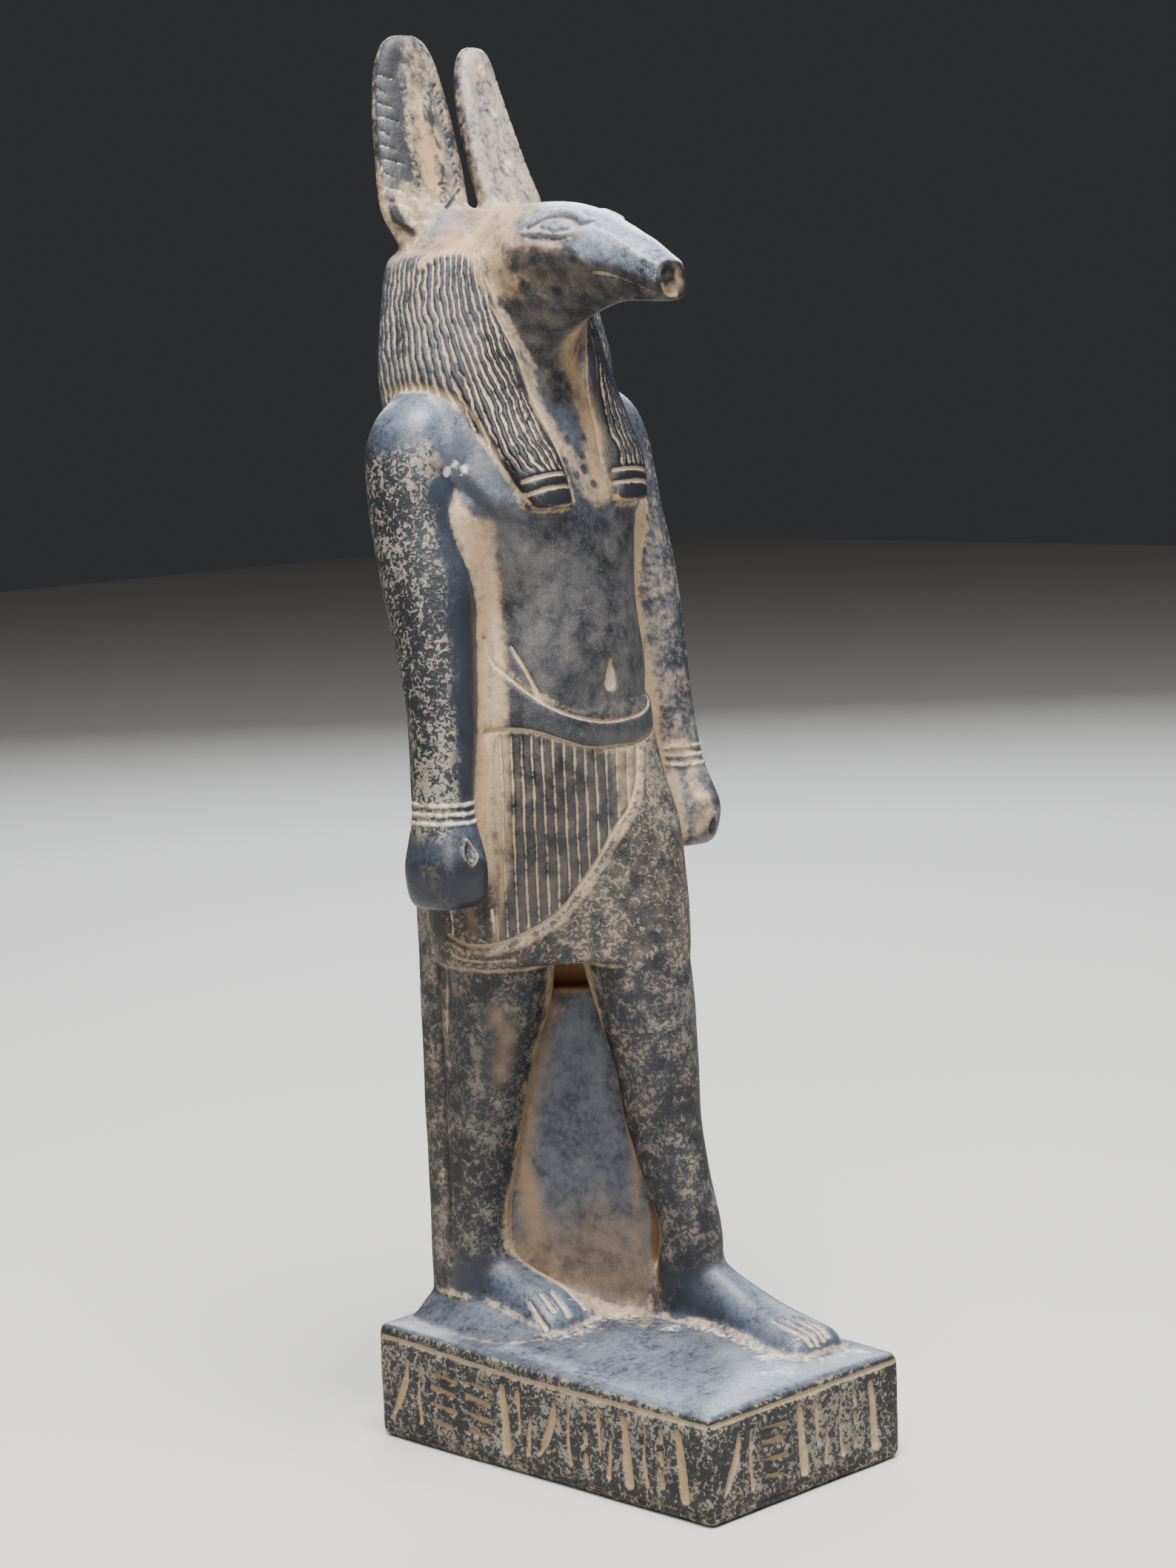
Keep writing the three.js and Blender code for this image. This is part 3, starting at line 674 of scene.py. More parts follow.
def shelterOver(surface, tree):  # share of the sky that nearby stone hides from each point
    golden = math.pi * (3 - math.sqrt(5))
    turns = np.arange(shelterRays["count"])
    tall = 1 - 2 * (turns + 0.5) / shelterRays["count"]
    flat = np.sqrt(1 - tall ** 2)
    sky = np.stack([flat * np.cos(golden * turns), flat * np.sin(golden * turns), tall], 1)
    rays = [Vector(way) for way in sky]
    sampled = np.zeros(surface.count)
    hidden = np.zeros(surface.count)
    for index in range(0, surface.count, shelterRays["every"]):
        facing = sky @ surface.normals[index]
        start = Vector(surface.points[index] + shelterRays["start"] * surface.normals[index])
        ahead = np.nonzero(facing > 0.15)[0]
        struck = sum(
            facing[way] for way in ahead if tree.ray_cast(start, rays[way], shelterRays["reach"])[0] is not None)
        hidden[index] = struck / facing[ahead].sum()
        sampled[index] = 1
    return surface.spread(hidden, shelterRays["spread"]) / surface.spread(sampled, shelterRays["spread"])


def noiseOver(surface, size, seed=0):  # -1 to 1, with lumps about as wide as size
    places = (surface.points / size + seed * 17.3).tolist()
    return np.array([noise.noise(place) for place in places])


print("marks")
shelter = shelterOver(surface, tree)
marks = Marks(surface)
x, y, z = surface.points.T
facingX, facingY, facingZ = surface.normals.T
lumps = noiseOver(surface, 7)
patches = noiseOver(surface, 16, 1)
ragged = noiseOver(surface, 2.2, 8)

# what lies on each form before the marks are made: bare polish, peening, sand, rust and so on, and on some forms
# painted shade and painted sheen
finishes = {
    "plinth": {"polish": 0.2, "peen": 0.72, "dust": 0.35},
    "pillar": {"polish": 0.2, "peen": 0.46, "dust": 0.75, "sand": 0.22},
    "web": {"polish": 0.4, "dust": 0.3, "stain": 0.15, "haze": 0.16},
    "kilt": {"peen": 0.75, "dust": 0.9, "polish": 0.2, "stain": 0.3, "haze": 0.08},
    "belt": {"polish": 0.5, "dust": 0.5},
    "torso": {"polish": 0.4, "dust": 0.7, "peen": 0.12},
    "leg": {"peen": 0.44, "polish": 0.2, "dust": 0.15, "stain": 0.18},
    "foot": {"polish": 0.8},
    "neck": {"dust": 0.7, "stain": 0.2},
    "head": {"polish": 0.4, "dust": 0.6, "peen": 0.3},
    "wig": {"dust": 0.4, "polish": 0.2, "haze": 0.3},
    "lappet": {"polish": 0.3, "dark": 0.2},
    "arm": {"polish": 0.4, "peen": 0.8},
    "armWeb": {"sand": 0.6, "stain": 0.9, "rust": 0.36},
    "shoulder": {"polish": 0.8, "haze": 0.2},
    "ear": {"sand": 0.35, "dust": 0.4, "polish": 0.3},
}
ankle = smoothStep(z + 2 * lumps, 28, 36)
limb = shares["leg"] + shares["foot"]
shares["leg"], shares["foot"] = limb * ankle, limb * (1 - ankle)
for name, tones in finishes.items():
    for tone, strength in tones.items():
        marks.tones[tone] += strength * shares[name]

everywhere = np.arange(surface.count)
marks.tone(everywhere, smoothStep(shelter, 0.25, 0.6), sand=0.75)
# deeper in the sheltered hollows the sand turns orange-brown: painted shade
marks.tone(everywhere, smoothStep(shelter, 0.5, 0.8), rust=0.8)
marks.tone(everywhere, smoothStep(creases, 0.2, 0.9), sand=0.5, dust=0.8)
plinthTop = shares["plinth"] * smoothStep(facingZ, 0.5, 0.9)
marks.tone(everywhere, plinthTop, peen=-0.95, polish=0.9, dust=0.3)
# a bluish film in patches over the plinth top: painted sheen
marks.tone(everywhere, plinthTop * (0.5 + 0.45 * patches), haze=0.6)
plinthBand = shares["plinth"] * (1 - smoothStep(facingZ, 0.3, 0.6)) * smoothStep(z, 17.8, 18.4)
marks.tone(everywhere, plinthBand, dark=0.45)
upward = smoothStep(facingZ, 0.05, 0.65)
# top-facing surfaces of the head, the front of the muzzle and the tops of feet, arms and shoulders get a bluish film:
# painted light and painted sheen, over real dust on the head
marks.tone(everywhere, shares["head"] * upward, dust=0.9, polish=0.8, haze=0.75, peen=-0.5)
marks.tone(everywhere, shares["head"] * smoothStep(-y, 2, 5) * smoothStep(facingZ, -0.3, 0.15), haze=0.5, polish=0.8)
marks.tone(everywhere, (shares["foot"] + shares["arm"] + shares["shoulder"]) * upward, haze=0.32)
smoothShoulder = shares["arm"] * smoothStep(z + 3 * lumps, 176, 182)
inward = -np.sign(x) * facingX * 0.75 - facingY * 0.65
insideArm = shares["arm"] * smoothStep(inward + 0.3 * lumps + 0.4 * ragged, 0.05, 0.65)
marks.tone(everywhere, np.maximum(smoothShoulder, insideArm), peen=-0.95, polish=0.8)
# the inner faces of the arms below the shoulders are darkened: painted shade
marks.tone(everywhere, insideArm * (1 - smoothStep(z, 165, 178)), dark=0.4)
crown = shares["wig"] * smoothStep(z + 2 * lumps + 0.03 * (np.abs(x) - 10), 210, 213)
marks.tone(everywhere, crown * (0.75 + patches), sand=0.5, rust=0.45, stain=0.9)
headBack = shares["head"] * smoothStep(y + 2 * lumps + 3.5 * ragged, 3.5, 12.5)
marks.tone(everywhere, headBack, haze=-0.95, sand=0.5, stain=0.8, rust=0.3)
noseBreak = shares["head"] * smoothStep(-y, 18.1, 18.8)
marks.tone(everywhere, noseBreak, dark=0.8, haze=-1, dust=-0.8, polish=-0.9)
marks.tone(everywhere, shares["web"], sand=-0.7)
# a brown band along the top of the web, under the kilt's hem: painted shadow
marks.tone(everywhere, shares["web"] * smoothStep(z, 80, 82), sand=0.5, stain=1)
# browner towards the foot of the web
marks.tone(everywhere, shares["web"] * (1 - smoothStep(z + 3 * lumps, 28, 56)), stain=0.6)
behindArm = shares["armWeb"] * smoothStep(facingY + 0.2 * lumps, -0.5, 0.1)
marks.tone(everywhere, behindArm, sand=-0.9, stain=-0.6, rust=-0.8, peen=0.6)
# on the far arm the inner faces take dust, sand and a little painted sheen in place of the painted shade
farArm = insideArm * smoothStep(x, 10, 14)
marks.tone(everywhere, farArm, dust=0.8, sand=0.34, haze=0.15, dark=-0.6)
fists = shares["arm"] * (1 - smoothStep(z, 112, 115))
marks.tone(everywhere, fists, peen=-0.65, polish=0.7, dark=0.36)
# the upper chest polished, with a little bluish film: painted sheen
marks.tone(everywhere, shares["torso"] * smoothStep(z, 162, 172), polish=0.9, dust=-0.6, haze=0.15)

# Hair: lines running down from the crown, closer together on the lappets

hair = {
    "axis": 25,  # y of the upright line that the hair goes round
    "lappetLines": 8.5, "otherLines": 28.5, "depth": 0.45, "wave": 0.35,
    "top": 213, "bottom": 174.6,
}
hairInner = stationsOf("z turn", (170, 12.6), (178.7, 17.8), (189.6, 29), (203, 42), (211, 46.7))
hairOuter = stationsOf("z turn", (168, 30), (176, 46), (184, 55.5), (193, 63), (203, 72), (211, 76))


def turnAt(stations):  # degrees from the front at each point's height
    return np.interp(z, [row["z"] for row in stations], [row["turn"] for row in stations])


fromFront = np.degrees(np.arctan2(np.abs(x), hair["axis"] - y))
inner, outer = turnAt(hairInner), turnAt(hairOuter)
onLappet = (fromFront - inner) / (outer - inner)
pastLappet = (fromFront - outer) / (180 - outer)
strand = np.where(
    fromFront < outer, hair["lappetLines"] * onLappet, hair["lappetLines"] + hair["otherLines"] * pastLappet)
strand += hair["wave"] * (noiseOver(surface, 3, 2) + 1.4 * noiseOver(surface, 9, 3) + 0.5 * noiseOver(surface, 1.3, 7))
hairShare = np.clip(shares["wig"] + shares["lappet"], 0, 1)
lined = smoothStep(hairShare, 0.5, 0.9) * smoothStep(fromFront - inner, 0, 2)
lined *= 1 - smoothStep(z + 2.5 * lumps + 0.04 * (fromFront - 60), hair["top"] - 2, hair["top"] + 1.5)
lined *= smoothStep(z, hair["bottom"] - 0.5, hair["bottom"] + 0.5)
narrow = np.zeros(surface.count)

# Pleats: upright lines on the kilt, ended by the edge of the cloth that is wrapped over

pleats = {"across": (0.708, -0.706), "pitch": 1.84, "offset": 0.35, "depth": 0.36}
wrapEdge = (
    (5.7, -1.1, 125.6), (4.7, -1.8, 120.2), (2.4, -2.1, 115.4), (-0.6, -1.2, 111.7), (-3.3, 0.5, 106.5),
    (-6.1, 2.9, 101.6), (-8.7, 5.5, 97.3), (-12.3, 9, 94.2), (-16.3, 12.9, 92.1), (-19.3, 17.6, 91.7),
    (-20.2, 21.6, 93.4))
across = pleats["across"][0] * x + pleats["across"][1] * y
edgeAcross = [pleats["across"][0] * place[0] + pleats["across"][1] * place[1] for place in wrapEdge]
edgeHeight = np.interp(across, edgeAcross[::-1], [place[2] for place in wrapEdge][::-1])
pleated = smoothStep(shares["kilt"], 0.5, 0.9) * smoothStep(z - edgeHeight, 0.2, 1.2)
pleated *= 1 - smoothStep(across, edgeAcross[0] - 0.6, edgeAcross[0] - 0.1)
pleated *= smoothStep(across + smoothStep(z, 102, 98), -20.4, -19.8) * (1 - smoothStep(z, 129, 130))
marks.tone(everywhere, shares["kilt"] * smoothStep(z, 129.5, 130.5), peen=-0.9)
pleatPlace = across / pleats["pitch"] + pleats["offset"] + 0.12 * lumps
strand = np.where(pleated > lined, pleatPlace, strand)
narrow = np.where(pleated > lined, 1.0, 0.0)
lined = np.maximum(lined, pleated)
wave = np.cos(2 * math.pi * strand)
lineShare = np.where(narrow > 0.5, smoothStep(wave, 0.35, 0.95), smoothStep(wave, -0.45, 0.8))
lineDepth = np.where(narrow > 0.5, pleats["depth"], hair["depth"])
marks.cut = np.minimum(marks.cut, -lineDepth * lineShare * lined)
marks.tone(everywhere, pleated, peen=-0.9, polish=0.5, haze=0.12)
marks.tone(everywhere, hairShare * (1 - smoothStep(z + 3 * lumps, 172, 192)), dark=0.6, haze=-0.8)
marks.tone(everywhere, pleated * smoothStep(across + lumps, -2, 2), sand=0.42, stain=0.8)
marks.stroke(wrapEdge, 0.8, -0.45, sand=0.9)
marks.stroke([(px + 0.8, py - 0.6, pz - 1.3) for px, py, pz in wrapEdge], 1.4, 0.3, soft=1.2, sand=0.5)
marks.stroke(((-19.8, 21.9, 90.2), (-19.4, 20.1, 89.2), (-18.3, 16.9, 88.8), (-14, 11.5, 88.9)), 0.7, -0.35, sand=0.7)

# Belt: thin lines along both of its edges, and the fold that runs off over the hip

beltEdge = {"steps": 40, "wide": 0.75, "depth": -0.45}
for up in (-0.06, 1.06):
    ring = [
        tuple(beltRing(2 * math.pi * step / beltEdge["steps"], {"up": up, "grow": 1}))
        for step in range(beltEdge["steps"] + 1)]
    marks.stroke(ring, beltEdge["wide"], beltEdge["depth"], sand=0.9)
marks.stroke(((-15, 8.2, 144.3), (-14.3, 5.7, 140.4), (-13, 3.5, 135)), (0.5, 0.9), -0.35, sand=0.9)
marks.stroke(((0.2, -0.9, 141), (0.1, -0.9, 139), (0.1, -0.9, 137)), (0.7, 2.2, 3.2), -0.8, sand=0.85, chalk=0.3)

# Shoulders, chest and lappets

seam = (
    (21.9, 29.9, 188.4), (22.2, 24.7, 189.1), (21.3, 20.1, 188.8), (19.6, 17.3, 188), (18.4, 12.2, 184.4),
    (16.7, 8.4, 177.8), (15.2, 6.3, 172.7), (14, 3.2, 168.8))
marks.both(seam, (1.6, 2.0, 1.4, 1.2, 0.8), -0.5, 1.4, sand=0.8, rust=0.35)
strip = (
    (18.6, 9, 167), (15.8, 11.4, 153.6), (15.6, 10.8, 140.8), (17, 9.6, 128), (17.8, 9.2, 115), (18, 10, 101),
    (18.2, 12.4, 92))
marks.both(strip, (2, 3, 3.6, 4, 3.6, 2.4, 0.6), soft=2.8, sand=0.58, stain=0.9, rust=0.25, peen=-0.9)
armpit = ((20.8, 11, 173.5), (20, 9.8, 169.5), (18.6, 8.2, 167.5))
# in the armpits the sand gives way to dark polished stone with painted shade
marks.both(armpit, (4, 5, 3), soft=2.4, sand=-0.97, stain=-0.95, rust=-0.95, dust=-0.8, dark=0.35, polish=0.8)
chestEdge = ((25.9, 14, 176.8), (22.3, 13.5, 174.3), (20.2, 10.3, 171.1), (18.1, 7.6, 167.8), (14.9, 5.2, 166.7))
marks.both([(px, py, pz + 2.2) for px, py, pz in chestEdge], 2.5, 0.3, 3.0, polish=0.9)
# a dark line under the edge of the chest: painted shade
marks.both([(px, py, pz - 1.6) for px, py, pz in chestEdge], 1.6, -0.4, 2.4, dark=0.35)
for pz in (173.2, 170.9):
    marks.both(((14.4, 4.0, pz - 0.6), (10.5, 1.8, pz + 0.3), (6, 2.6, pz + 0.2)), 0.75, -0.4, sand=0.95)
marks.both(((13.2, 3, 168.4), (9, 1, 168.6), (5.4, 2, 168.7)), 1.2, sand=0.6, rust=0.7)
rim = (
    (18.1, 22.7, 209.9), (16.1, 20.1, 212.3), (14.1, 18, 212.8), (12.5, 16.2, 210.7), (12.2, 15.2, 207.5),
    (11.3, 12.7, 204.2), (9.2, 12.8, 198.1), (8.1, 11.6, 194.6), (6.6, 9.4, 187))
# the rim round the face, with sand, brown and a little painted sheen
marks.both(rim, (2.4, 3.2, 3, 1.4, 0.8, 0.6), 0.35, 1.4, sand=0.62, stain=0.8, haze=0.3)
innerLine = ((12.6, 16, 207), (11.3, 14, 202), (10, 12.9, 197.5), (8.3, 11.2, 191), (6.9, 9, 185), (5.6, 6.2, 178), (5, 4.8, 174.6))
marks.both(innerLine, 0.55, -0.35, sand=0.9)

# Head

upperLid = ((8.8, 6.4, 215.1), (7.7, 5, 216), (6.4, 3, 216.8), (5.2, -0.4, 216.6), (5.2, -3.2, 215.3), (3.6, -4.5, 216))
lowerLid = ((9.4, 6.9, 214.4), (8.2, 3.1, 214.2), (7.5, -1.2, 213.9), (6.4, -3.7, 214.6))
browArc = ((5.7, 3.6, 217.9), (4.9, 1.3, 218.1), (4.6, -0.8, 217.7), (4.6, -3.3, 216.4))
# the upper lid's groove: painted shade
marks.both(upperLid, (0.5, 0.9, 0.9, 0.8, 0.5), -0.65, haze=-1, rust=0.45, dark=0.4)
marks.both(browArc, (0.8, 1.5, 0.8), 0.5, 1.0, polish=0.8)
marks.both(lowerLid, (0.6, 1.0, 0.6), 0.4, 0.7, sand=0.55)
marks.both(((8.9, 5.4, 213.4), (7.7, 1.2, 212.9), (7.1, -2.6, 213.4)), 0.7, -0.35, sand=0.35)
marks.both(((8.4, 5, 214.9), (7.6, 0.5, 215.1), (6.8, -3.2, 215.1)), 1.6, soft=0.8, sand=0.5)
marks.both(((7.9, 3.1, 215.1), (7.6, 0.6, 215.25), (7.3, -1.8, 215.2)), (0.8, 2.2, 0.7), 0.65, 0.8, polish=1, sand=-0.9)
muzzleRidge = (
    (7, -2, 213.2), (5.8, -3.8, 214.1), (4.7, -5.5, 214.5), (4.1, -8, 213.6), (3.9, -11.6, 211.7), (4, -15, 209.6),
    (3.1, -18.2, 208.5))
marks.both(muzzleRidge, (1.2, 1.6, 1.8, 1.2), 0.3, 1.6, polish=1, chalk=0.12)
cheekEdge = (
    (11.3, 9.9, 210.9), (10.1, 6, 211.6), (9, 2.3, 211.3), (8, -0.8, 211), (7.3, -2.9, 210.9), (6.9, -4.6, 209),
    (6.4, -5.9, 207.3))
marks.both([(px, py, pz + 0.7) for px, py, pz in cheekEdge], 1.0, 0.28, 1.4)
# below the cheek's edge the stone is darker: painted shade
marks.both([(px, py, pz - 3.6) for px, py, pz in cheekEdge], 6, soft=4, dark=0.42, polish=-0.6, stain=0.3)
mouth = (
    (6.4, -6, 206.9), (5.7, -8.5, 206.6), (5.1, -11, 205.6), (4.5, -13.5, 204.7), (3.8, -15.9, 203.7),
    (3.1, -17.9, 203))
marks.both(mouth, (0.9, 0.7, 0.45, 0.4, 0.4), -0.5, sand=0.7)
marks.stroke(((0.6, -19.1, 207), (1.4, -19.1, 205.2), (-1.4, -19.1, 203.6)), 2.2, -0.5, 2.0, stain=0.75)
# a short dark groove across the end of the muzzle: painted shade
marks.stroke(((-2.2, -18.9, 206.4), (-1.2, -19, 207), (0.2, -19, 206.8)), 1.3, -0.5, 1.0, stain=-0.9, rust=-0.9, dark=0.9)
marks.stroke(((-2.6, -18.9, 204.6), (-1.8, -18.9, 203.2), (0.4, -18.9, 202.9)), 0.8, soft=1, sand=0.45, stain=0.7)
marks.stroke(((-11.6, 8.5, 213), (-10.4, 4, 212.6), (-8.8, 0, 212)), 2.6, soft=3, sand=0.42, stain=0.6)
cheekSpots = (
    ((-11, 4.2, 209.3), 1.5), ((-9.6, 1.0, 209.4), 2.2), ((-10.4, 3, 206.6), 2.3), ((-8.7, -0.6, 206.3), 2.4),
    ((-7.4, -2.9, 209.4), 1.6), ((-7.7, 1.7, 203.6), 1.8), ((-10.6, 7.4, 206), 1.4))
chestSpots = (
    ((-1.7, 5.8, 179.2), 1.8), ((0.6, 4.7, 176.2), 1.5), ((-3.9, 4.5, 175.5), 1.4), ((0.2, 3.9, 173.8), 1.7),
    ((-2, 5.2, 172.4), 1.5), ((2.4, 4.6, 179.8), 1.3), ((1.6, 3.8, 171), 1.6))
for place, wide in cheekSpots:
    marks.dab(place, wide, -0.1, dust=-0.9, peen=-0.9, dark=0.8)
marks.stroke(
    ((-7.6, 11, 191), (-7, 9.5, 186), (-5, 6.5, 180), (-2, 4.6, 175), (0, 3.6, 170)), 4, soft=4, sand=0.55, stain=0.8)
# on the far side of the throat, brown and orange: sand with painted shade
marks.stroke(
    ((2.5, 7, 197), (5, 9, 188), (4.5, 5.5, 181), (3, 3.6, 175), (2.4, 2.6, 170)), 5, soft=4, sand=0.5, stain=1, rust=0.35)
for place, wide in chestSpots:
    marks.dab(place, wide, -0.05, sand=-0.9, stain=-0.8, rust=-0.9, dark=0.55)
for place, wide in (((-23.4, 13.5, 174.8), 1.6), ((-20.8, 12.2, 174.9), 1.2), ((-22.2, 13, 176), 1.2)):
    marks.dab(place, wide, -0.1, soft=2, chalk=0.85)

# Ears: a hollow nearer the inner edge, with combed strokes at its border

earCarving = {"hollow": 1.1, "from": 219, "to": 245, "strokes": 13, "nicks": 10}


def earSizes(height, mirror):
    foot, tip = earStations[0]["z"], earStations[-1]["z"]
    raised = height + earDrop[mirror] * np.clip((height - foot) / (tip - foot), 0, 1)
    heights = [row["z"] for row in earStations]
    return {name: np.interp(raised, heights, [row[name] for row in earStations]) for name in earStations[0]}


def earPlace(mirror, share, height):  # share is -1 at the inner edge and 1 at the outer one
    size = earSizes(height, mirror)
    turn = math.radians(float(size["turn"]))
    bulge = math.sqrt(max(0, 1 - share ** 2)) * size["front"]
    u, v = share * size["side"], -bulge
    return (
        float(mirror * (size["x"] + u * math.cos(turn) - v * math.sin(turn))),
        float(size["y"] + u * math.sin(turn) + v * math.cos(turn)), height)


for mirror in (-1, 1):
    size = earSizes(z, mirror)
    turn = np.radians(size["turn"])
    sideways = (mirror * x - size["x"]) * np.cos(turn) + (y - size["y"]) * np.sin(turn)
    share = sideways / size["side"]
    facing = mirror * facingX * np.sin(turn) - facingY * np.cos(turn)
    front = shares["ear"] * (mirror * x > 0) * smoothStep(facing, 0.35, 0.7)
    tall = smoothStep(z, earCarving["from"], earCarving["from"] + 6)
    tall *= 1 - smoothStep(z, earCarving["to"] - 7, earCarving["to"])
    dish = (1 - smoothStep(share, -0.35, 0.45)) * smoothStep(share, -0.78, -0.5)
    marks.cut -= (earCarving["hollow"] if mirror < 0 else 0.5) * dish * tall * front
    if mirror < 0:
        marks.tone(everywhere, front * dish * tall, sand=0.7, stain=0.6)
        # lower in the ear's hollow the sand turns orange-brown: painted shade
        marks.tone(everywhere, front * dish * tall * (1 - smoothStep(z, 232, 240)), rust=0.75)
        marks.tone(everywhere, front * smoothStep(share, 0.25, 0.5), sand=-0.9, dust=-0.9, haze=-0.8, dark=0.55)
        marks.tone(everywhere, front * smoothStep(share, 0.88, 0.98), chalk=0.35, dark=-0.9)
    else:
        # the far ear's front takes a bluish film: painted sheen
        marks.tone(everywhere, front, haze=0.65, sand=0.5, polish=-0.5)
    low = shares["ear"] * (mirror * x > 0) * (1 - smoothStep(z + 2 * lumps, 220, 227))
    marks.tone(everywhere, low, sand=0.55, stain=0.6, chalk=0.25)
    for step in range(earCarving["nicks"]):
        height = 221 + 2.45 * step
        reach = 0.5 + 0.12 * (step % 3)
        route = [earPlace(mirror, place, height + rise) for place, rise in ((0.9, 0), (reach, -0.9))]
        marks.stroke(route, (0.45, 0.3), -0.2, chalk=0.6 if mirror < 0 else 0.0)
for step in range(earCarving["strokes"]):
    height = 219.5 + 1.55 * step
    combed = [earPlace(-1, place, height + rise) for place, rise in ((-0.28, 0), (-0.5, 1.5), (-0.74, 3.4))]
    marks.stroke(combed, (0.5, 0.7, 0.35), -0.45, sand=-0.9, stain=-0.9, rust=-0.9, dark=0.75)
    feather = [earPlace(-1, place, height + 2 + rise) for place, rise in ((0.28, 0), (0.1, 0.8), (-0.05, 2.2))]
    marks.stroke(feather, (0.3, 0.5, 0.3), -0.3, sand=0.75)
for place, wide in (((8.1, 35.7, 243.8), 3.2), ((9.1, 33.8, 236.6), 2.6), ((10.1, 31.2, 226.6), 3.0)):
    marks.dab(place, wide, 0.1, sand=0.7, chalk=0.45)
earHeel = ((-18.3, 30.2, 221.8), (-17.6, 29.4, 218), (-16.6, 26, 215.8), (-15.4, 22.6, 215), (-14.8, 20, 214.8))
marks.stroke(earHeel[:3], (1.2, 1.6, 0.8), 0.25, 1.4, sand=-0.8, chalk=-0.9, stain=-0.8, rust=-0.9, dark=0.5)
# brown and orange in the grooves under the ear's heel and where the ear meets the head: sand with painted shade
marks.stroke([(px, py, pz - 2.8) for px, py, pz in earHeel[1:]], 2.4, -0.4, 2.4, stain=1, rust=0.4)
marks.stroke(
    ((-13.3, 20.7, 217.1), (-13.5, 17.6, 213.1), (-11.5, 16.8, 214.3), (-8.8, 16.7, 216.8)), 3, -0.3, 2.5, stain=1,
    rust=0.6)

# Hands, bracelets and the folds under the near fist

for side, heights in ((-1, (118.6, 117, 115.5)), (1, (122.4, 120.8, 119.1))):
    for height in heights:
        band = shares["arm"] * (side * x > 0) * (1 - smoothStep(np.abs(z - height - 0.12 * lumps), 0.2, 0.6))
        marks.rise = np.maximum(marks.rise, 0.3 * band)
        marks.tone(everywhere, band * smoothStep(patches + lumps, -0.5, 0.1), sand=0.7, chalk=0.5)
loop = (
    (30.3, 4.1, 110.2), (31.2, 4.2, 108.5), (31.6, 4.3, 107), (30.5, 4.2, 105.3), (29.2, 4, 105.9), (28.7, 4, 107.5),
    (29.4, 4, 109.1), (30.3, 4.1, 110.2))
marks.both(loop, 0.55, 0.35, lift=3.3, sand=0.55, stain=0.6)
farHand = ((24.6, 9.1, 122.6), (27.4, 7.2, 121.3), (27.4, 6.4, 115.5), (28.6, 4.6, 111), (27, 5.7, 107.3))
marks.stroke(farHand, 3.4, soft=3, sand=0.6, stain=0.6)
marks.stroke(((-35, 11.5, 108), (-34, 8, 109), (-32, 5.4, 112)), 2, soft=4, peen=0.5, stain=0.3)
# a groove cut into the front end of each rod, with painted shade in it
marks.both(((30.4, 4, 108.6), (30.4, 4, 106.6)), 0.8, -0.7, lift=3.3, sand=-0.9, dark=1)
marks.stroke(((-20.9, 20.6, 102), (-20.7, 20.2, 96.8), (-20.2, 20.6, 93.6)), 0.6, -0.3, chalk=0.7)
# under the near fist: painted shade, dark on the fold and brown beside it
marks.stroke(((-18.3, 13.6, 101), (-18.3, 13.6, 97.5), (-18, 13.4, 94)), 1.6, 0.5, 1.0, dark=0.8)
marks.stroke(((-17.6, 12.9, 98.6), (-17.4, 12.9, 94.4)), 0.5, -0.2, chalk=0.8)
marks.stroke(((-19.8, 16.2, 101), (-19.6, 16.2, 95)), 2.2, soft=2.4, stain=0.9, rust=0.25)

# Legs: the hollow between the legs and the groove between the near leg and the pillar, with painted shade in both and
# under the kilt's hem

marks.stroke(((-4.4, 24.6, 80), (-4, 24.4, 62), (-2.6, 23, 45), (-1.6, 21.6, 32)), 4, soft=7, stain=1, rust=0.35)
marks.stroke(((7.4, 4, 78), (7.2, 4.6, 60), (7.2, 4.6, 44), (6.6, 5, 30)), 1.4, soft=4, stain=0.9, rust=0.3)
marks.stroke(((-1, 21, 29), (2.6, 16, 27.6), (5.6, 9, 27)), 6, soft=14, stain=0.9)
marks.stroke(((-13.4, 17.6, 79), (-11.4, 17.4, 73), (-11.6, 19.6, 67)), 3, soft=7, stain=0.85, rust=0.2, peen=-0.4)
marks.stroke(((-14.9, 31.6, 86), (-14.7, 31.2, 60), (-14.6, 31.4, 32)), 1.2, -0.5, 1.6, dark=0.8)

# Feet

toes = (
    ((-3.9, 14.3, 27.9), (-3, 8.8, 24.5)), ((-7, 13.6, 27.3), (-7.5, 8.5, 24.2)),
    ((-9.1, 14.1, 27.7), (-9.6, 10, 25.2)), ((-11.4, 14.4, 26.6), (-12, 9.6, 22.4)),
    ((9.4, -25.1, 25.2), (9.9, -33.5, 22.3)), ((11.1, -26.8, 25.1), (11.4, -33.8, 22)),
    ((13.1, -27.3, 25.1), (13.1, -33.5, 22.4)), ((14.2, -28, 24.5), (14.5, -33.2, 22.7)))
for start, end in toes:
    marks.stroke((start, end), (0.4, 0.9, 1.1), -0.55, sand=1, chalk=0.35)
marks.stroke(((6.9, -30.9, 22.3), (7.8, -31.6, 23), (8.9, -31.8, 23.2)), 0.4, -0.2, chalk=0.8)
marks.stroke(((-5, 11.2, 25.6), (-3.8, 10.6, 25.4), (-2.6, 10.4, 24.9)), 0.4, -0.2, chalk=0.6)

